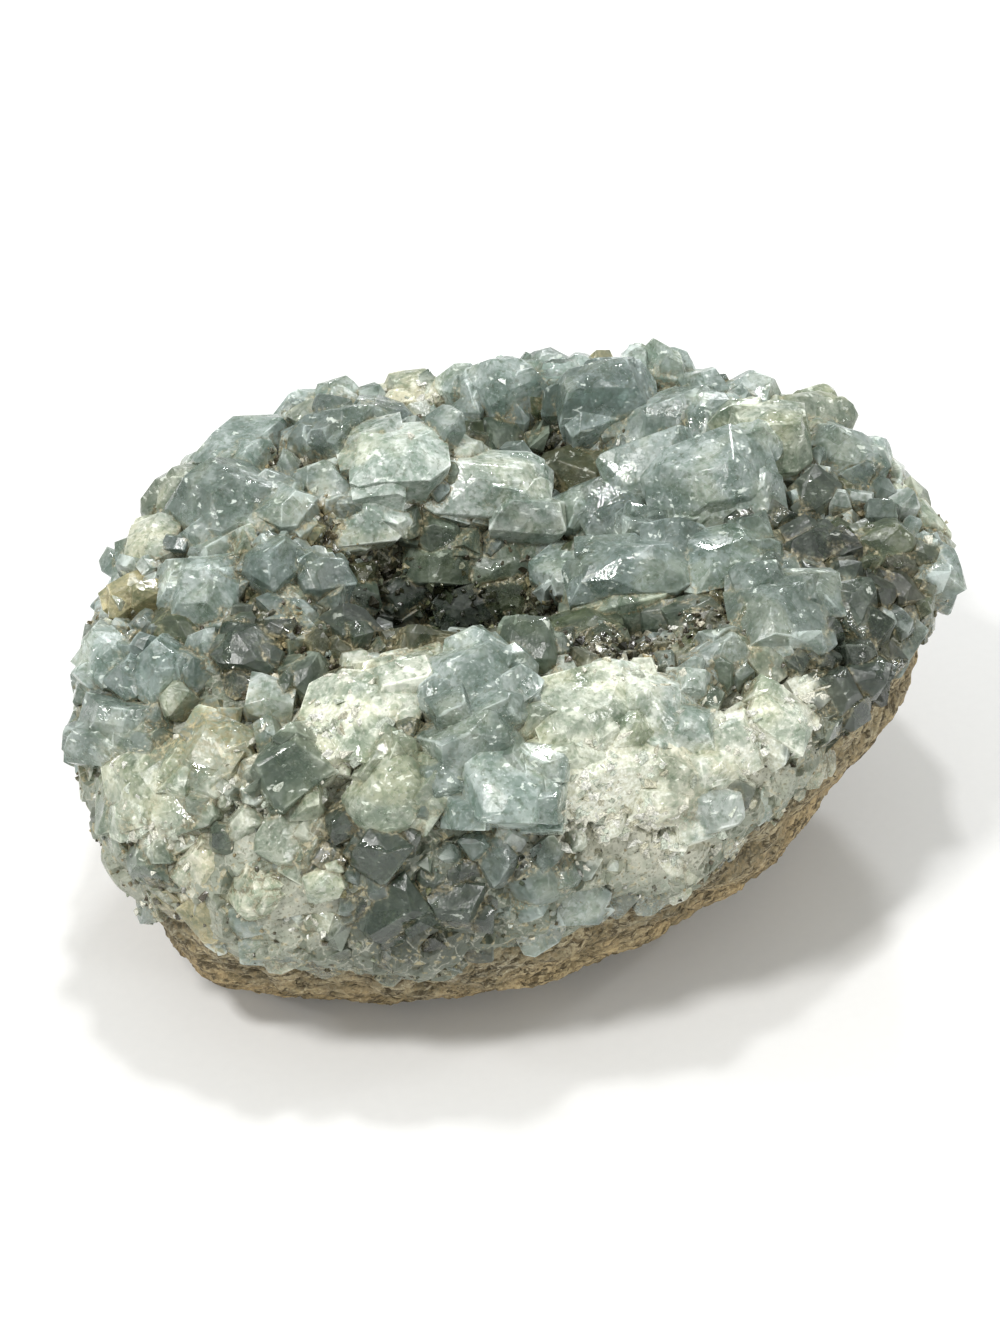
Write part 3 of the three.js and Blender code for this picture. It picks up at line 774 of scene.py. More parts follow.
def crystal_material():
    """Glassy, partly milky celestite."""
    n = Nodes("celestite")
    place = n.place()
    tint, frost, lift = n.colour("tint"), n.number("frost"), n.number("lift")
    patch, rust = n.number("patch"), n.number("rust")
    seam, ridge = n.number("seam"), n.number("ridge")
    # clouds and veils inside the crystals, and the grain of their faces
    cloud = n.noise(n.warped(place, 6, 4), 5, 3)
    veil = n.noise(n.warped(place, 4, 3), 2.2, 3)
    grain = n.noise(place, 0.45, 4)
    speck = n.noise(place, 0.8, 3)
    fine = n.noise(n.warped(place, 2, 1.5), 0.9, 5)
    border = n.borders(n.warped(place, 3, 3), 5)
    crack = (1 - border.between(0.0, 0.03)) * cloud.between(0.48, 0.60) * fine.between(0.42, 0.55)
    # sugar on the pale masses, dirt and painted shade low down and in the joints, wear and a
    # painted highlight along the edges
    sugar = (patch * 1.1 + veil * 0.9 + cloud * 0.6).between(1.1, 1.7)
    low = 1 - (lift + cloud * 2 - 1).between(0.2, 2.8)
    high = (lift + cloud * 3 - 1.5).between(3.0, 6.5)
    joint = 1 - (seam + veil * 2.4 - 1.0 + cloud * 1.6 - 0.8).between(0.1, 0.9)
    joint = joint * (1 - high * 0.85)
    dirt_and_shade = low.most(joint) * grain.between(0.34, 0.52)
    edge = (1 - (ridge + veil * 0.6 - 0.3).between(0.03, 0.25)) * cloud.between(0.42, 0.62)
    flat = n.vector("MULTIPLY", place, (1.0, 1.0, 2.4))
    # white flakes on the high faces: broken surfaces, and a painted glint
    flake_and_glint = n.noise(n.warped(flat, 1.6, 1.0), 1.6, 3).between(0.61, 0.65)
    flake_and_glint = flake_and_glint * high * veil.between(0.46, 0.54)

    light = n.times(tint, (1.46, 1.42, 1.46))
    light = n.mix(0.16, light, (0.80, 0.84, 0.78))
    base = n.mix(cloud.between(0.34, 0.66), n.times(tint, (0.53, 0.62, 0.565)), tint)
    warm = n.noise(n.warped(place, 12, 8), 10, 2).between(0.46, 0.62)
    base = n.mix(warm * 0.6, base, n.times(base, (1.06, 1.0, 0.80)))
    base = n.mix(veil.between(0.50, 0.70) * 0.55, base, light)
    base = n.mix(speck.between(0.54, 0.66) * 0.45, base, (0.12, 0.15, 0.085))
    base = n.mix(grain.between(0.54, 0.68) * 0.5, base, light)
    base = n.mix(fine.between(0.5, 0.38) * 0.65, base, n.times(base, (0.58, 0.67, 0.59)))
    # lighter along the ridges: chipped wear, and a painted highlight
    base = n.mix(edge * 0.5, base, light)
    # the low places and the joints go brown-dark: partly dirt, partly painted shade
    recess_colour = n.mix(speck.between(0.5, 0.62), (0.14, 0.12, 0.065), (0.44, 0.395, 0.265))
    base = n.mix(dirt_and_shade * 0.85, base, recess_colour)
    base = n.mix(crack * 0.55, base, light)
    # the flakes whiten the colour: broken surfaces, and a painted glint
    base = n.mix(flake_and_glint * 0.5, base, (0.86, 0.895, 0.83))
    crumb = n.mix(grain.between(0.3, 0.7), (0.585, 0.585, 0.46), (0.89, 0.91, 0.825))
    base = n.mix(sugar, base, crumb)
    base = n.mix(rust * speck.between(0.40, 0.60) * 0.8, base, (0.56, 0.44, 0.20))

    gloss = 1 - n.red(n.cells(n.warped(place, 3, 2), 3.5)).between(0.36, 0.48)
    normal = n.tilted(n.cells(n.warped(place, 3, 2), 1.4), 0.15)
    normal = n.bump(grain, 0.12, sugar * 0.7 + dirt_and_shade * 0.5 + 0.4, normal)
    normal = n.bump(cloud, 0.8, 0.3, n.bump(veil, 0.25, 0.4, normal))
    clear = n.principled(
        Base_Color=n.mix(0.5, base, (0.80, 0.92, 0.85)), Roughness=0.3 - gloss * 0.26,
        IOR=1.62, Transmission_Weight=0.95, Normal=normal,
    )
    milky = n.principled(
        Base_Color=base, Roughness=(sugar + dirt_and_shade) * 0.2 + 0.38 - gloss * 0.33, IOR=1.62,
        Normal=normal,
    )
    milk = frost * 0.85 + cloud.between(0.3, 0.7) * 0.2 + sugar + dirt_and_shade * 0.6 + edge * 0.3 + flake_and_glint
    mixed = n.add("MixShader", None, {0: milk, 1: clear, 2: milky})
    volume = n.add("VolumeAbsorption", None, {"Color": (0.60, 0.77, 0.75, 1), "Density": 80.0})
    return n.finish(mixed, volume)


def druse_material():
    """Sparkling small crystals and dirt between the large ones."""
    n = Nodes("druse")
    place = n.place()
    tint = n.colour("tint")
    grain = n.noise(place, 0.3, 3)
    colour = n.mix(grain.between(0.35, 0.65), n.times(tint, (0.55, 0.55, 0.55)), tint)
    normal = n.bump(grain, 0.06, 0.5, n.tilted(n.cells(place, 0.6), 0.4))
    return n.finish(n.principled(
        Base_Color=colour, Roughness=grain * 0.35 + 0.08, IOR=1.62, Normal=normal,
    ))


def bed_material():
    """The crust between the crystals: intergrown crystal sections with dirt in their seams."""
    n = Nodes("crystal_bed")
    place = n.place()
    tint, frost = n.colour("tint"), n.number("frost")
    warped = n.warped(place, 3, 2.5)
    section = n.cells(warped, 3.0)
    split = n.red(section)
    border = n.borders(warped, 3.0)
    fine = n.noise(place, 0.5, 4)
    speck = n.noise(place, 1.0, 3)
    cloud = n.noise(warped, 4, 4)
    dark = n.times(tint, (0.38, 0.43, 0.37))
    colour = n.mix(split * 0.7 + cloud * 0.4, dark, tint)
    vein = (1 - border.between(0, 0.08)) * fine.between(0.4, 0.6)
    colour = n.mix(vein, colour, (0.50, 0.50, 0.42))
    colour = n.mix(speck.between(0.56, 0.66) * 0.8, colour, (0.44, 0.38, 0.22))
    crumb = n.mix(speck, (0.46, 0.45, 0.34), (0.74, 0.73, 0.64))
    colour = n.mix(frost * cloud.between(0.2, 0.5), colour, crumb)
    colour = n.mix(fine.between(0.52, 0.66) * 0.6, colour, (0.08, 0.085, 0.045))
    normal = n.bump(fine, 0.2, 0.9, n.tilted(section, 0.4))
    return n.finish(n.principled(
        Base_Color=colour, Roughness=fine * 0.5 + 0.2, IOR=1.6, Normal=normal,
    ))


def rind_material():
    """Tan-brown granular rock with thin layers."""
    n = Nodes("rind_rock")
    place = n.place()
    layer, height = n.number("layer"), n.number("relief")
    grain = n.noise(place, 0.55, 4)
    speck = n.noise(n.warped(place, 2, 1.5), 1.6, 4)
    lump = n.noise(n.warped(place, 5, 3), 5, 4)
    stripe = n.add("TexWave", {"wave_type": "BANDS", "bands_direction": "Z"}, {
        "Vector": n.warped(place, 6, 7), "Scale": 190.0, "Distortion": 4.0, "Detail": 5.0,
    }, "Fac")
    wide = n.noise(n.warped(place, 20, 12), 16, 3)
    tan, brown, pale = (0.45, 0.32, 0.15), (0.10, 0.07, 0.025), (0.62, 0.53, 0.33)
    colour = n.mix(lump.between(0.35, 0.65), tan, (0.31, 0.24, 0.125))
    colour = n.mix(stripe.between(0.5, 0.85) * lump.between(0.3, 0.55) * 0.7, colour, brown)
    colour = n.mix(grain.between(0.44, 0.30) * 0.7, colour, pale)
    # greyer layers next to the crust
    grey = n.mix(speck.between(0.4, 0.6), (0.23, 0.225, 0.155), (0.50, 0.49, 0.385))
    colour = n.mix(layer * 0.7, colour, grey)
    pitted = wide.between(0.42, 0.62) * 0.5 + 0.45
    colour = n.mix(wide.between(0.36, 0.64) * 0.4, colour, (0.52, 0.42, 0.235))
    colour = n.mix(speck.between(0.54, 0.66) * pitted, colour, brown)
    colour = n.mix(grain.between(0.50, 0.64) * 0.6, colour, (0.16, 0.11, 0.05))
    # darker where the surface is low, in the pits, and thin cracks along the layers
    low = (height + speck * 0.8 - 0.4).between(0.0, -0.45)
    recess_colour = n.mix(grain.between(0.4, 0.6), (0.05, 0.04, 0.015), (0.26, 0.20, 0.10))
    colour = n.mix(low * 0.7, colour, recess_colour)
    flat = n.vector("MULTIPLY", n.warped(place, 9, 5), (1.0, 1.0, 3.2))
    gap = n.noise(flat, 4.5, 5) - 0.5
    line = (1 - (gap * gap).between(0.0, 0.0015)) * speck.between(0.40, 0.54)
    colour = n.mix(line * 0.85, colour, (0.065, 0.048, 0.019))
    normal = n.bump(grain, 0.5, 0.9, n.bump(speck, 0.9, 0.8, n.bump(line, -0.4, 0.7)))
    return n.finish(n.principled(Base_Color=colour, Roughness=0.85 - grain * 0.2, Normal=normal))


def stage_material():
    """Plain pale paper."""
    n = Nodes("pale_paper")
    fibre = n.noise(n.place(), 1.5, 3)
    colour = n.mix(fibre, (0.81, 0.81, 0.81), (0.84, 0.84, 0.84))
    return n.finish(n.principled(Base_Color=colour, Roughness=0.9, Specular_IOR_Level=0.1))


# ---- Crystals: their shape ----


def crystal_turn(axis, twist):
    """The turn from upright to a crystal's growing direction, with its twist."""
    upright = Vector((0, 0, 1))
    return upright.rotation_difference(Vector(axis)) @ Quaternion(upright, math.radians(twist))


def cut_away(bm, normal, reach):
    """Cuts a closed mesh flat at a plane."""
    geometry = bm.verts[:] + bm.edges[:] + bm.faces[:]
    bmesh.ops.bisect_plane(
        bm, geom=geometry, plane_co=normal * reach, plane_no=normal, clear_outer=True,
    )
    bmesh.ops.holes_fill(bm, edges=[e for e in bm.edges if e.is_boundary])


def close_hull(bm):
    """Wraps the points of a mesh in faces, and takes out those left inside."""
    hull = bmesh.ops.convex_hull(bm, input=bm.verts[:])
    spare = set(hull["geom_interior"] + hull["geom_unused"])
    bmesh.ops.delete(bm, geom=[v for v in bm.verts if v in spare], context="VERTS")


def crystal_hull(crystal, rng, bevel):
    """One blocky crystal with a blunt or chisel top, cut corners and worn edges. It is closed."""
    width, thickness, height = crystal["width"], crystal["thickness"], crystal["height"]
    root = crystal.get("root", min(ROOT_DEPTH * width, DEEPEST_ROOT))
    shoulder = height * (1 - crystal["slope"])
    outline = []
    for sx, sy in ((1, 1), (-1, 1), (-1, -1), (1, -1)):
        cut = rng.uniform(0.15, 0.45)
        if rng.random() < 0.35 + 0.03 * width:
            pair = [(sx, sy * (1 - cut)), (sx * (1 - cut), sy)]
            outline += pair if sx * sy > 0 else pair[::-1]
        else:
            outline.append((sx, sy))
    corners = []
    for x, y in outline:
        corners.append((0.5 * width * ROOT_TAPER * x, 0.5 * thickness * ROOT_TAPER * y, -root))
        corners.append((0.5 * width * x, 0.5 * thickness * y, shoulder * rng.uniform(0.8, 1.05)))
    off = 0.5 * thickness * crystal["skew"]
    deep = 0 if rng.random() < 0.35 else 0.5 * thickness * rng.uniform(0.2, 0.55)
    for side in (1, -1):
        x = 0.5 * width * max(crystal["ridge"], 0.3) * side
        for y in (deep, -deep):
            corners.append((x * rng.uniform(0.85, 1.15), off + y, height * rng.uniform(0.88, 1)))
    bm = bmesh.new()
    for corner in corners:
        bm.verts.new(corner)
    close_hull(bm)
    cuts = rng.randint(3, 6) if width > 8 else rng.randint(2, 3) if width > WORN_FROM else 1
    for _ in range(cuts):
        turn, lean = rng.uniform(0, 2 * math.pi), rng.uniform(0.3, 1.4)
        side = math.sin(lean)
        cutter = Vector((math.cos(turn) * side, math.sin(turn) * side, math.cos(lean)))
        reach = max(v.co.dot(cutter) for v in bm.verts) - rng.uniform(0.02, 0.11) * width
        cut_away(bm, cutter, reach)
    bmesh.ops.dissolve_limit(bm, angle_limit=0.12, verts=bm.verts, edges=bm.edges)
    if bevel:
        bmesh.ops.bevel(
            bm, geom=bm.edges[:], offset=bevel, segments=1, profile=0.5, affect="EDGES",
            clamp_overlap=True,
        )
    return bm


def offspring(width, least, rng):
    """How many smaller crystals grow with one: none under the least width, most on a wide one."""
    return 0 if width < least else rng.randint(1, 2) if width < 9 else rng.randint(2, 4)


def companions(crystal, rng):
    """Smaller crystals grown nearly parallel with a crystal, on its flanks and on its top."""
    width = crystal["width"]
    turn = crystal_turn(crystal["axis"], crystal["twist"])
    for _ in range(offspring(width, 5, rng)):
        size = rng.uniform(0.35, 0.65)
        x, y = rng.uniform(-0.5, 0.5), rng.uniform(-0.5, 0.5)
        stretch = 0.5 / max(abs(x), abs(y), 0.01)
        x, y = x * stretch * width * 0.75, y * stretch * crystal["thickness"] * 0.75
        shift = turn @ Vector((x, y, 0))
        lean = np.array([rng.gauss(0, 0.08) for _ in range(3)])
        yield dict(
            crystal, spot=crystal["spot"] + np.array(shift), axis=unit(crystal["axis"] + lean),
            width=width * size, thickness=width * size * rng.uniform(0.6, 1),
            height=crystal["height"] * rng.uniform(0.5, 0.92),
            twist=crystal["twist"] + rng.gauss(0, 7), **habit(rng.uniform),
        )
    for _ in range(offspring(width, 6, rng)):
        size = rng.uniform(0.5, 0.8)
        shift = turn @ Vector((
            rng.choice((-1, 1)) * rng.uniform(0.15, 0.4) * width,
            rng.choice((-1, 1)) * rng.uniform(0.15, 0.4) * crystal["thickness"], 0,
        ))
        lean = np.array([rng.gauss(0, 0.025) for _ in range(3)])
        yield dict(
            crystal, spot=crystal["spot"] + np.array(shift), axis=unit(crystal["axis"] + lean),
            width=width * size, thickness=crystal["thickness"] * size * rng.uniform(0.7, 1),
            height=crystal["height"] * rng.uniform(0.55, 0.95),
            twist=crystal["twist"] + rng.gauss(0, 1.5),
            slope=crystal["slope"] * rng.uniform(0.7, 1.2),
        )


def infill(grown, rng):
    """Small crystals packed close between the others."""
    big = kdtree.KDTree(len(grown))
    for i, crystal in enumerate(grown):
        big.insert(Vector(crystal["spot"]), i)
    big.balance()
    taken = {}
    for _ in range(INFILL_DARTS):
        degrees, level = rng.uniform(0, 360), rng.uniform(LOWEST_DART, 4)
        size, draws = rng.uniform(*INFILL_WIDTH), [rng.random() for _ in range(9)]
        if level < crust_edge(degrees) + 0.01:
            continue
        spot = body_point(degrees, level)
        if draws[8] < 1.3 * near(spot[None], DRUSY)[0]:
            continue
        _, i, away = big.find(Vector(spot))
        if away < 0.25 * grown[i]["width"]:
            continue
        key = tuple(int(v // INFILL_CELL) for v in spot)
        close = [
            other for dx in (-1, 0, 1) for dy in (-1, 0, 1) for dz in (-1, 0, 1)
            for other in taken.get((key[0] + dx, key[1] + dy, key[2] + dz), ())
        ]
        if any(np.linalg.norm(s - spot) < INFILL_SPACING * (size + w) / 2 for s, w in close):
            continue
        taken.setdefault(key, []).append((spot, size))
        around, up, normal = body_frame(degrees, level)
        axis = unit(normal + around * (draws[0] - 0.5) * 1.1 + up * (draws[1] - 0.5) * 1.1)
        sunk = -float(relief(spot[0], spot[1])) if level > RELIEF_LEVELS[0] else 0
        height = INFILL_HEIGHT[0] + (INFILL_HEIGHT[1] - INFILL_HEIGHT[0]) * draws[3]
        if sunk > 3 or level < LOW_LEVEL:
            height *= 0.6
        elif level > 2.9 and INNER_BEARINGS[0] < degrees < INNER_BEARINGS[1]:
            height *= 0.5
        yield dict(
            spot=spot, axis=axis, width=size, thickness=size * (0.6 + 0.4 * draws[2]),
            height=height, twist=360 * draws[4], slope=0.3 + 0.35 * draws[5],
            ridge=0.1 + 0.6 * draws[6], skew=0.8 * draws[7] - 0.4, root=1.5, tint=None,
            degrees=degrees, level=level, sunk=float(rise(sunk, *PIT_DEPTHS)),
        )


def settle_small(crystal):
    """Fits a crystal between the large ones to its place: smaller in pits and in the druse."""
    shrunk = max(crystal["sunk"], near(crystal["spot"][None], DRUSY)[0])
    if crystal["level"] < LOW_LEVEL:
        crystal["height"] *= LOW_HEIGHT
    inner = INNER_BEARINGS[0] < crystal["degrees"] < INNER_BEARINGS[1]
    if inner and crystal["level"] > INNER_LEVEL:
        crystal["height"] *= INNER_HEIGHT
    crystal["width"] *= SMALL_WIDER - 0.5 * shrunk
    crystal["thickness"] *= SMALL_WIDER - 0.5 * shrunk
    crystal["height"] *= 1 - 0.6 * shrunk


def settle_large(crystal):
    """Fits a large crystal to its neighbours, and finds the plane that it is broken at."""
    crystal["width"] *= LARGE_WIDER
    crystal["thickness"] *= LARGE_THICKER
    crystal["own"] = OWN_TINT
    if crystal["broken"]:
        crystal["plane"] = broken_face(crystal)


def crystal_part(crystal, wear, rng):
    """One crystal at its place, with its tint and milkiness on its faces."""
    edge = float(crust_edge(crystal["degrees"]))
    grown = float(rise(crystal["level"], edge, edge + EDGE_GROWTH))
    crystal["height"] *= EDGE_HEIGHT + (1 - EDGE_HEIGHT) * grown
    tint = crystal["tint"] or tint_for(crystal, rng)
    bevel = wear * min(1.4, (crystal["width"] / 10) ** 0.5) if crystal["width"] > WORN_FROM else 0
    bm = crystal_hull(crystal, rng, bevel)
    turn = crystal_turn(crystal["axis"], crystal["twist"]).to_matrix().to_4x4()
    bm.transform(Matrix.Scale(MM, 4) @ Matrix.Translation(Vector(crystal["spot"])) @ turn)
    if "plane" in crystal:
        normal, reach = crystal["plane"]
        cut_away(bm, Vector(normal), reach * MM)
    mesh = bpy.data.meshes.new("crystal")
    bm.to_mesh(mesh)
    bm.free()
    colour, frost = TINTS[tint]
    own = crystal.get("own", 0.0)
    colour = np.array(colour) * (1 if own else INFILL_SHADE) * rng.uniform(0.88, 1.12)
    count = len(mesh.polygons)
    paint(mesh, "tint", np.tile(colour, (count, 1)), "FACE")
    paint(mesh, "frost", np.full(count, frost + rng.uniform(-0.12, 0.12)), "FACE")
    paint(mesh, "own", np.full(count, own), "FACE")
    return bpy.data.objects.new("crystal", mesh)


def lift_over_body(points):
    """Height in millimetres of each point over the body's smooth surface."""
    degrees, levels = np.meshgrid(np.arange(0, 360, 2.0), np.linspace(1.7, 4, 90))
    spots = body_point(degrees, levels).reshape(-1, 3)
    normals = body_frame(degrees, levels)[2].reshape(-1, 3)
    tree = kdtree.KDTree(len(spots))
    for i, spot in enumerate(spots):
        tree.insert(Vector(spot), i)
    tree.balance()
    nearest = np.array([tree.find(Vector(p))[1] for p in points])
    return ((points - spots[nearest]) * normals[nearest]).sum(1)


def united(parts, name):
    """One closed mesh of many closed meshes that overlap."""
    group = bpy.data.collections.new("parts")
    bpy.context.scene.collection.children.link(group)
    for part in parts[1:]:
        group.objects.link(part)
    first = parts[0]
    bpy.context.scene.collection.objects.link(first)
    join = first.modifiers.new("join", "BOOLEAN")
    join.operation, join.solver = "UNION", "MANIFOLD"
    join.operand_type, join.collection = "COLLECTION", group
    graph = bpy.context.evaluated_depsgraph_get()
    mesh = bpy.data.meshes.new_from_object(first.evaluated_get(graph))
    mesh.name = name
    for part in parts:
        bpy.data.meshes.remove(part.data)
    bpy.data.collections.remove(group)
    made = bpy.data.objects.new(name, mesh)
    bpy.context.scene.collection.objects.link(made)
    return made


def places_on(pieces, count, rng):
    """Random places on pieces in millimetres, their faces' normals, and heights over the body."""
    corners, lifts = [], []
    for piece in pieces:
        mesh = piece.data
        mesh.calc_loop_triangles()
        index = np.zeros(3 * len(mesh.loop_triangles), int)
        mesh.loop_triangles.foreach_get("vertices", index)
        lift = np.zeros(len(mesh.vertices))
        if "lift" in mesh.attributes:
            lift = read(mesh.attributes["lift"].data, "value")
        corners.append(read(mesh.vertices, "co", 3)[index].reshape(-1, 3, 3) / MM)
        lifts.append(lift[index].reshape(-1, 3))
    corners, lifts = np.concatenate(corners), np.concatenate(lifts)
    normals = np.cross(corners[:, 1] - corners[:, 0], corners[:, 2] - corners[:, 0])
    areas = np.linalg.norm(normals, axis=1)
    pick = rng.choice(len(areas), count, p=areas / areas.sum())
    share = np.sort(rng.uniform(0, 1, (count, 2)), axis=1)
    share = np.stack([share[:, 0], share[:, 1] - share[:, 0], 1 - share[:, 1]], 1)
    spots = (corners[pick] * share[:, :, None]).sum(1)
    return spots, unit(normals[pick]), (lifts[pick] * share).sum(1)


def remove_twins(bm):
    """Takes out pairs of faces that lie back to back on the same points."""
    twins = {}
    for face in bm.faces:
        twins.setdefault(frozenset(v.index for v in face.verts), []).append(face)
    spare = [face for faces in twins.values() if len(faces) > 1 for face in faces]
    bmesh.ops.delete(bm, geom=spare, context="FACES")
    bm.verts.index_update()


def refine(mesh, longest, widest):
    """Splits long edges and large faces, so that values of points are close enough together."""
    bm = bmesh.new()
    bm.from_mesh(mesh)
    bmesh.ops.remove_doubles(bm, verts=bm.verts[:], dist=CLOSEST_POINTS)
    bmesh.ops.triangulate(bm, faces=bm.faces[:])
    remove_twins(bm)
    for _ in range(2):
        long = [e for e in bm.edges if e.calc_length() > longest]
        bmesh.ops.subdivide_edges(bm, edges=long, cuts=1)
        bmesh.ops.triangulate(bm, faces=bm.faces[:])
        remove_twins(bm)
    bmesh.ops.poke(bm, faces=[f for f in bm.faces if f.calc_area() > widest])
    bm.to_mesh(mesh)
    bm.free()


def edge_distances(mesh, step=0.4):
    """Distance in millimetres from each point to a joint between crystals, and to a ridge."""
    bm = bmesh.new()
    bm.from_mesh(mesh)
    samples = ([], [])
    for edge in bm.edges:
        if len(edge.link_faces) == 2 and edge.calc_face_angle(0) > (0.5 if edge.is_convex else 0.3):
            first, last = edge.verts[0].co, edge.verts[1].co
            count = max(1, math.ceil((last - first).length / (step * MM)))
            along = [first.lerp(last, k / count) for k in range(count + 1)]
            samples[int(edge.is_convex)].extend(along)
    points = [v.co.copy() for v in bm.verts]
    bm.free()
    found = []
    for side in samples:
        tree = kdtree.KDTree(len(side))
        for i, place in enumerate(side):
            tree.insert(place, i)
        tree.balance()
        found.append(np.array([tree.find(p)[2] for p in points]) / MM)
    return found


def shaded(colours, points, own=0):
    """Colours with the patches of painted shade and darker tone, and the frosted patches, over
    them. Crystals of their own tint keep more.
    """
    dark = 0.85 * (near(points, SHADE_AND_DARK_PATCHES) * (1 - own))[:, None]
    frost = 0.4 * near(points, FROSTED)[:, None]
    return colours * (1 - dark) * (1 - frost) + frost * np.array(FROST_COLOUR)


# ---- Rock, bed and druse: their shape ----


def rock_grain(p, grain, layers):
    """Height of the rock's grains, lumps, ledges and pits at a point, in millimetres."""
    cell = noise.voronoi(p / 1.7)[0]
    lump = noise.fractal(p / 5, 1, 2, 4)
    warp = noise.noise(p / 11) * 3 + noise.noise(p / 3) * 0.8
    ledge = ((p.z + warp) / 3.1) % 1
    pit = max(0.0, noise.fractal(Vector((p.x, p.y, p.z * 2.4)) / 2.2, 0.8, 2, 4) - 0.12)
    return (
        (0.45 - cell[0]) * grain * 1.6 + lump * 0.5 - min(pit * 2.0, 0.7)
        + (ledge - 0.5) * layers
    )


def section_bumps(points):
    """Heights that split a surface into small tilted facets, in millimetres."""
    rng = random.Random(BED_SEED)
    sections = kdtree.KDTree(BED_SECTIONS)
    tilts = []
    for k in range(BED_SECTIONS):
        angle, level = rng.uniform(0, 360), rng.uniform(1.75, 4)
        sections.insert(Vector(body_point(angle, level)), k)
        tilts.append((rng.uniform(-0.5, 0.7), Vector([rng.gauss(0, 0.3) for _ in range(3)])))
    sections.balance()
    bumps = np.zeros(len(points))
    for i, p in enumerate(points):
        p = Vector(p)
        centre, k, _ = sections.find(p)
        height, tilt = tilts[k]
        bumps[i] = height + tilt.dot(p - centre) + 0.25 * noise.noise(p / 1.1)
    return bumps


def small_hulls(rng, corners, count):
    """Points and faces of a few irregular small crystals, each within a box of size 1."""
    kinds = []
    for _ in range(count):
        bm = bmesh.new()
        for _ in range(corners):
            v = rng.normal(size=3)
            bm.verts.new(v / np.abs(v).max() * (0.5, 0.4, 0.5))
        close_hull(bm)
        bm.verts.index_update()
        kinds.append((
            np.array([v.co for v in bm.verts]), [tuple(v.index for v in f.verts) for f in bm.faces],
        ))
        bm.free()
    return kinds


def scattered(name, spots, normals, sizes, colours, rng, material, raised):
    """Small crystals at places, joined in one piece and raised by a share of their sizes."""
    kinds = small_hulls(rng, 9, 8)
    points, faces, tints = [], [], []
    start = 0
    for spot, normal, size, colour in zip(spots, normals, sizes, colours):
        shape, sides = kinds[rng.randint(len(kinds))]
        turn = np.array(Quaternion(unit(rng.normal(size=3)), rng.uniform(0, 6.28)).to_matrix())
        stretch = rng.uniform(0.6, 1.2, 3)
        points.append(spot + normal * size * raised + (shape * stretch) @ turn * size)
        faces += [tuple(start + i for i in side) for side in sides]
        tints.append(np.tile(colour, (len(shape), 1)))
        start += len(shape)
    made = new_object(name, np.vstack(points), faces, {"tint": np.vstack(tints)})
    finish_piece(made, material, "crystal_crust")


# ---- Settings ----


class GeodeRind(bpy.types.PropertyGroup):
    """Sizes of the rind's surface."""

    grain: FloatProperty(
        name="Grain height", description="Height of the rock's grains", default=0.35 * MM,
        unit="LENGTH",
    )
    layers: FloatProperty(
        name="Layer height", description="Height of the thin ledges between layers",
        default=0.3 * MM, unit="LENGTH",
    )


class GeodeCrystals(bpy.types.PropertyGroup):
    """Sizes of the crystals."""

    wear: FloatProperty(
        name="Edge wear", description="Width of the crystals' worn edges", default=0.1 * MM,
        unit="LENGTH",
    )
    seed: IntProperty(name="Seed", description="Draws the small differences", default=11)


class GeodeDruse(bpy.types.PropertyGroup):
    """Number and size of the small crystals."""

    tries: IntProperty(name="Tries", description="Places tried for small crystals", default=150000)
    most: IntProperty(name="Most", description="Most small crystals of each crust", default=12000)
    size: FloatProperty(
        name="Size", description="Width of a middling druse crystal", default=0.85 * MM,
        unit="LENGTH",
    )
    sugar: FloatProperty(
        name="Sugar size", description="Width of a middling crystal of the pale crust",
        default=1.7 * MM, unit="LENGTH",
    )


class GeodeStage(bpy.types.PropertyGroup):
    """Floor, lamps and camera."""

    distance: FloatProperty(
        name="Camera distance", description="From the geode's middle", default=0.45, unit="LENGTH",
    )
    lens: FloatProperty(
        name="Lens", description="Focal length in millimetres", default=80, unit="CAMERA",
    )
    azimuth: FloatProperty(
        name="Azimuth", description="Camera's bearing from the front",
        default=math.radians(-15.7), subtype="ANGLE",
    )
    elevation: FloatProperty(
        name="Elevation", description="Camera's height over the horizon",
        default=math.radians(38), subtype="ANGLE",
    )
    target: FloatVectorProperty(
        name="Target", description="Point that the camera looks at",
        default=(0.010, 0.003, 0.034), subtype="TRANSLATION",
    )
    ambient: FloatProperty(
        name="Ambient", description="Strength of the light from all round", default=0.52,
    )


# ---- Operators ----


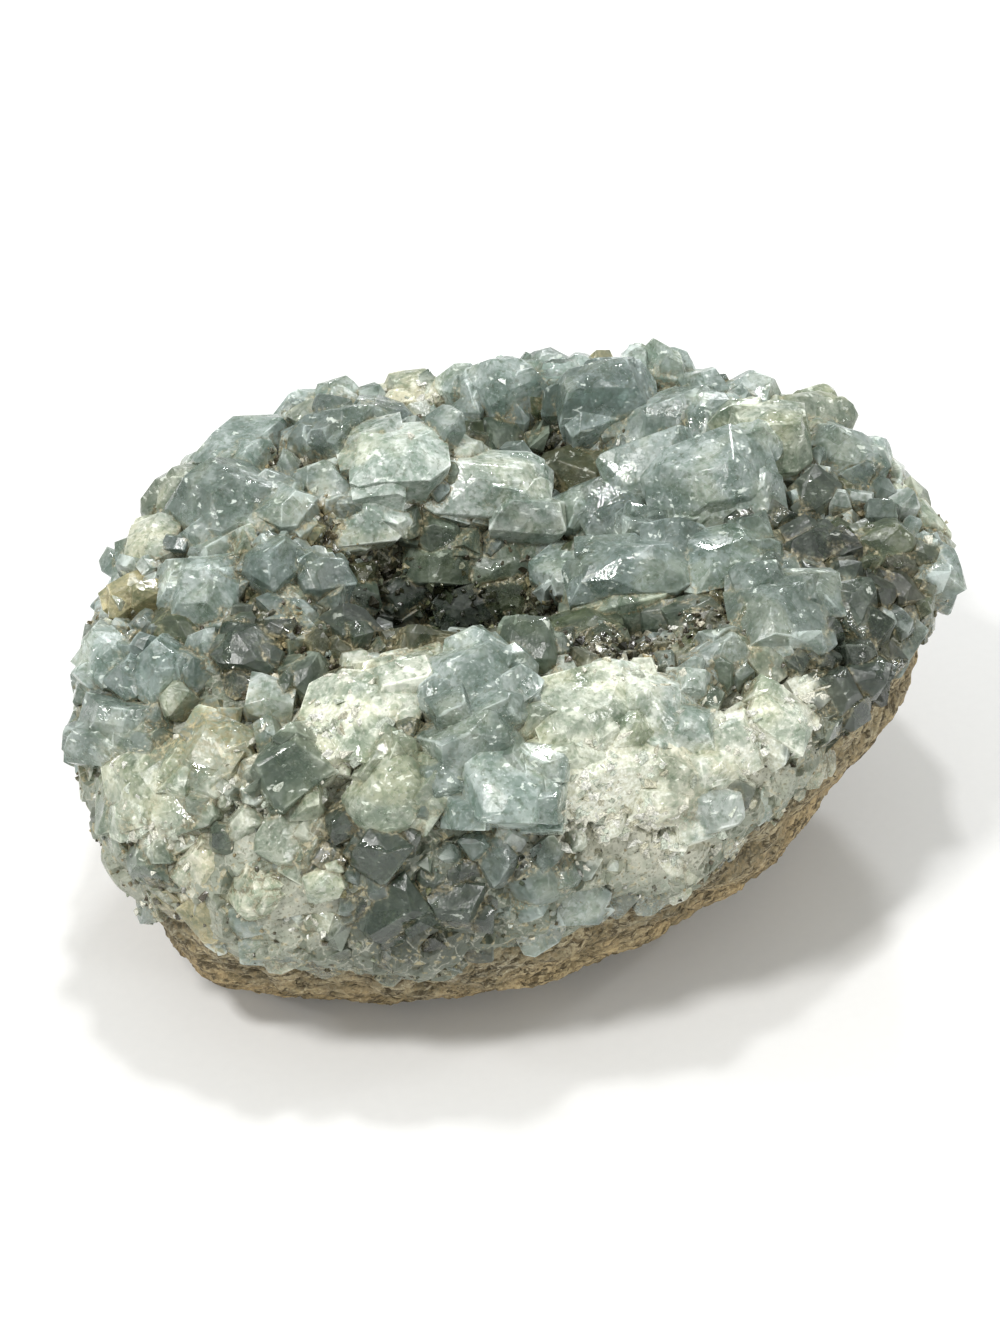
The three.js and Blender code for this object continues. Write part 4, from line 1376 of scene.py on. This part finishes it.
class GEODE_OT_stage(bpy.types.Operator):
    """Lays the floor and sets the lamps and the camera"""

    bl_idname = "geode.stage"
    bl_label = "Stage"

    def execute(self, context):
        settings = context.scene.geode_stage
        steps = np.linspace(-FLOOR_SIDE, FLOOR_SIDE, FLOOR_CELLS + 1)
        points = [(x, y, -FLOOR_DROP) for y in steps for x in steps]
        row = FLOOR_CELLS + 1
        starts = [j * row + i for j in range(FLOOR_CELLS) for i in range(FLOOR_CELLS)]
        faces = [(k, k + 1, k + row + 1, k + row) for k in starts]
        floor = new_object("floor", points, faces)
        floor.data.materials.append(stage_material())

        target = Vector(settings.target)
        a, e = settings.azimuth, settings.elevation
        back = Vector((math.sin(a) * math.cos(e), -math.cos(a) * math.cos(e), math.sin(e)))
        camera = bpy.data.objects.new("camera", bpy.data.cameras.new("camera"))
        camera.data.lens = settings.lens
        camera.data.clip_start = 0.01
        camera.location = target + back * settings.distance
        camera.rotation_euler = back.to_track_quat("Z", "Y").to_euler()
        context.scene.collection.objects.link(camera)
        context.scene.camera = camera

        for name, place, size, watts, colour in LAMPS:
            lamp = bpy.data.lights.new(name, "AREA")
            lamp.shape = "RECTANGLE"
            lamp.size, lamp.size_y = size
            lamp.energy = watts
            lamp.color = colour
            made = bpy.data.objects.new(name, lamp)
            made.location = place
            made.rotation_euler = (Vector(place) - target).to_track_quat("Z", "Y").to_euler()
            context.scene.collection.objects.link(made)

        world = bpy.data.worlds.new("studio")
        world.use_nodes = True
        sky = world.node_tree.nodes["Background"]
        sky.inputs["Color"].default_value = AIR_COLOUR
        sky.inputs["Strength"].default_value = settings.ambient
        context.scene.world = world
        context.scene.view_settings.view_transform = "Standard"
        return {"FINISHED"}


class GEODE_OT_rind(bpy.types.Operator):
    """Makes the stone rind"""

    bl_idname = "geode.rind"
    bl_label = "Rind"

    def execute(self, context):
        settings = context.scene.geode_rind
        around = RIND_AROUND
        degrees = np.arange(around) * 360 / around
        edge = crust_edge(degrees)
        rows = []
        bounds = (0, 1, edge, edge + BED_RAMP, RIND_TOP)
        for low, high, count in zip(bounds, bounds[1:], RIND_ROWS):
            rows += [low + (high - low) * (k + 1) / count + 0 * degrees for k in range(count)]
        levels = np.array(rows)
        angles = np.broadcast_to(degrees, levels.shape)
        base = body_point(angles, levels)
        normal = body_frame(angles, levels)[2]
        flat = base.reshape(-1, 3)
        shown = (rise(levels, *RIND_GRAIN_FROM) * (1 - rise(levels, edge, edge + 0.1))).ravel()
        grains = np.zeros(len(flat))
        for i in np.nonzero(shown > 0)[0]:
            grains[i] = rock_grain(Vector(flat[i]), settings.grain / MM, settings.layers / MM)
        offset = rind_offset(angles, levels).ravel() + (grains - 0.25) * shown
        points = flat + normal.reshape(-1, 3) * offset[:, None]
        points[(levels <= 1).ravel(), 2] = 0
        points[:, 2] = np.maximum(points[:, 2], 0)
        points = np.vstack([points, [(0, 0, 0)], [points[-around:].mean(0)]])
        attributes = {
            "layer": np.append(rise(levels, edge - RIND_LAYERS_FROM, edge).ravel(), [0, 1]),
            "relief": np.append(grains * shown, [0, 0]),
        }
        faces = rings_to_faces(len(levels), around)
        made = new_object("rind_rock", points, faces, attributes)
        finish_piece(made, rind_material(), "stone_rind", smooth=True)
        return {"FINISHED"}


class GEODE_OT_bed(bpy.types.Operator):
    """Makes the crust that the crystals stand on"""

    bl_idname = "geode.bed"
    bl_label = "Bed"

    def execute(self, context):
        around, outer, inner = BED_AROUND, BED_ROWS, BED_UNDER_ROWS
        degrees = np.arange(around) * 360 / around
        edge = crust_edge(degrees)
        share = np.linspace(0, 1, outer + 1)[:-1, None]
        levels = edge + (BED_TOP - edge) * share
        angles = np.broadcast_to(degrees, levels.shape)
        base = body_point(angles, levels).reshape(-1, 3)
        normal = body_frame(angles, levels)[2].reshape(-1, 3)
        bumps = section_bumps(base)
        lift = rise(levels, edge - 0.01, edge + 0.12).ravel()
        bumps = np.clip(bumps, -1.0, 1.0) * (0.35 + 0.65 * lift) + 0.35 * (1 - lift)
        low = (1 - rise(levels, 2.25, 2.5)) * rise(-np.cos(np.radians(angles - 80)), 0.0, 0.5)
        bumps += lift * (0.3 + 1.6 * low.ravel())
        top = base + normal * bumps[:, None]

        under_levels = edge + (BED_UNDER_TOP - edge) * np.linspace(1, 0, inner + 1)[:, None]
        under_angles = np.broadcast_to(degrees, under_levels.shape)
        depth = rind_offset(under_angles, under_levels) + SEAM * 0.3
        depth -= 0.3 * (1 - rise(under_levels, edge, edge + 0.05))
        normal = body_frame(under_angles, under_levels)[2]
        under = body_point(under_angles, under_levels) + normal * depth[..., None]
        under = under.reshape(-1, 3)

        rings = outer + inner + 1

        def at(ring, i):
            return ring % rings * around + i % around

        faces = []
        for ring in [k for k in range(rings) if k != outer - 1]:
            for i in range(around):
                faces.append((at(ring, i), at(ring, i + 1), at(ring + 1, i + 1), at(ring + 1, i)))
        points = np.vstack([top, under, [top[-around:].mean(0)], [under[:around].mean(0)]])
        pole_top, pole_under = len(points) - 2, len(points) - 1
        for i in range(around):
            faces.append((pole_top, at(outer - 1, i), at(outer - 1, i + 1)))
            faces.append((pole_under, at(outer, i + 1), at(outer, i)))

        all_levels = np.concatenate([levels.ravel(), under_levels.ravel(), [4, 4]])
        all_angles = np.concatenate([angles.ravel(), under_angles.ravel(), [0, 0]])
        hollow = rise(all_levels, 2.55, 3.0)[:, None]
        front = ((all_angles > 190) & (all_angles < 320)).astype(float)[:, None]
        outside = front * np.array(BED_FRONT) + (1 - front) * np.array(BED_REST)
        colours = hollow * np.array(BED_HOLLOW) + (1 - hollow) * outside
        attributes = {"tint": shaded(colours, points), "frost": near(points, FROSTED)}
        made = new_object("crystal_bed", points, faces, attributes)
        finish_piece(made, bed_material(), "crystal_crust", smooth=False)
        return {"FINISHED"}


class GEODE_OT_crystals(bpy.types.Operator):
    """Grows the crystals and joins them"""

    bl_idname = "geode.crystals"
    bl_label = "Crystals"

    def execute(self, context):
        settings = context.scene.geode_crystals
        rng = random.Random(settings.seed)
        grown = grown_crystals()
        for crystal in grown:
            if crystal["tint"] is None:
                crystal["tint"] = tint_for(crystal, rng)
                settle_small(crystal)
            else:
                settle_large(crystal)
        for row in HOLLOW_CRYSTALS:
            grown.append(dict(told(row), **habit(rng.uniform), own=HOLLOW_OWN_TINT))
        extra = [small for crystal in grown for small in companions(crystal, rng)]
        extra += list(infill(grown, rng))
        habits = random.Random(settings.seed + 1)
        for row in DEEP_CRYSTALS:
            extra.append(dict(told(row), **habit(habits.uniform), own=DEEP_OWN_TINT))
        parts = [crystal_part(crystal, settings.wear / MM, rng) for crystal in grown + extra]
        made = united(parts, "crystal_blocks")
        mesh = made.data
        refine(mesh, LONGEST_EDGE, WIDEST_FACE)
        tints = mesh.attributes["tint"].data
        colours = read(tints, "color", 4)
        own = read(mesh.attributes["own"].data, "value")
        centres = read(mesh.polygons, "center", 3) / MM
        colours[:, :3] = shaded(colours[:, :3], centres, own)
        tints.foreach_set("color", colours.ravel())
        points = read(mesh.vertices, "co", 3) / MM
        paint(mesh, "lift", lift_over_body(points))
        paint(mesh, "patch", near(points, FROSTED))
        paint(mesh, "rust", near(points, RUSTED))
        seam, ridge = edge_distances(mesh)
        paint(mesh, "seam", seam)
        paint(mesh, "ridge", ridge)
        finish_piece(made, crystal_material(), "crystal_crust")
        return {"FINISHED"}


class GEODE_OT_druse(bpy.types.Operator):
    """Scatters the small crystals between and over the large ones"""

    bl_idname = "geode.druse"
    bl_label = "Druse"

    def execute(self, context):
        settings = context.scene.geode_druse
        rng = np.random.RandomState(DRUSE_SEED)
        material = druse_material()
        pieces = [bpy.data.objects["crystal_bed"], bpy.data.objects["crystal_blocks"]]
        spots, normals, lifts = places_on(pieces, settings.tries, rng)
        drusy, frost = near(spots, DRUSY), near(spots, FROSTED)
        draws = rng.uniform(0, 1, (4, len(spots)))

        chance = (0.12 + 0.9 * drusy) * (1 - np.clip(lifts / (3 + 3 * drusy), 0, 1)) * 0.7
        keep = np.nonzero(draws[0] < chance)[0][:settings.most]
        sizes = settings.size / MM * np.exp(0.35 * rng.normal(size=len(keep)))
        sizes = sizes * (0.8 + 0.4 * drusy[keep])
        # In the darkening patches the druse is darker: painted shade in the hollow and its pit,
        # darker grains elsewhere.
        deep = near(spots[keep], SHADE_AND_DARK_PATCHES)
        pale = (1 - drusy[keep]) * 0.35
        kind = np.searchsorted(DRUSE_SHARES, pale + (1 - pale) * draws[1][keep] * (1 - 0.35 * deep))
        shade = rng.uniform(0.5, 1.5, len(keep)) * (1 - 0.7 * deep)
        colours = np.array(DRUSE_TINTS)[kind] * shade[:, None]
        colours *= 1 - deep[:, None] * np.array(SHADED_DRUSE_LOSS)
        places = spots[keep], normals[keep]
        scattered("druse", *places, sizes, colours, rng, material, DRUSE_RAISED)

        clumps = np.array([noise.noise(Vector(p) / 4.5) for p in spots])
        chance = frost**3 * np.clip(0.5 + 1.2 * clumps, 0, 1) * 3
        keep = np.nonzero((draws[2] < chance) & (lifts > 0.3))[0][:settings.most]
        sizes = settings.sugar / MM * np.exp(0.4 * rng.normal(size=len(keep)))
        sizes = np.minimum(sizes, SUGAR_LARGEST)
        kind = np.searchsorted(SUGAR_SHARES, draws[3][keep])
        colours = np.array(SUGAR_TINTS)[kind] * rng.uniform(0.85, 1.1, (len(keep), 1))
        places = spots[keep], normals[keep]
        scattered("sugar", *places, sizes, colours, rng, material, SUGAR_RAISED)
        return {"FINISHED"}


class GEODE_PT_panel(bpy.types.Panel):
    """The geode's tools"""

    bl_idname = "GEODE_PT_panel"
    bl_label = "Celestite Geode"
    bl_space_type = "VIEW_3D"
    bl_region_type = "UI"
    bl_category = "Geode"

    def draw(self, context):
        scene = context.scene
        for operator, group in OPERATORS:
            box = self.layout.box()
            box.operator(operator.bl_idname)
            if group:
                settings = getattr(scene, group)
                for key in settings.__annotations__:
                    box.prop(settings, key)


OPERATORS = [
    (GEODE_OT_stage, "geode_stage"),
    (GEODE_OT_rind, "geode_rind"),
    (GEODE_OT_bed, None),
    (GEODE_OT_crystals, "geode_crystals"),
    (GEODE_OT_druse, "geode_druse"),
]
GROUPS = {
    "geode_rind": GeodeRind,
    "geode_crystals": GeodeCrystals,
    "geode_druse": GeodeDruse,
    "geode_stage": GeodeStage,
}


def register():
    """Registers the settings, tools and panel."""
    for name, group in GROUPS.items():
        bpy.utils.register_class(group)
        setattr(bpy.types.Scene, name, PointerProperty(type=group))
    for operator, _ in OPERATORS:
        bpy.utils.register_class(operator)
    bpy.utils.register_class(GEODE_PT_panel)


def unregister():
    """Takes them out again."""
    bpy.utils.unregister_class(GEODE_PT_panel)
    for operator, _ in reversed(OPERATORS):
        bpy.utils.unregister_class(operator)
    for name, group in GROUPS.items():
        delattr(bpy.types.Scene, name)
        bpy.utils.unregister_class(group)


def main():
    """Builds the geode on its stage."""
    register()
    for operator, _ in OPERATORS:
        group, tool = operator.bl_idname.split(".")
        getattr(getattr(bpy.ops, group), tool)()
    bpy.context.view_layer.update()


if __name__ == "__main__":
    main()
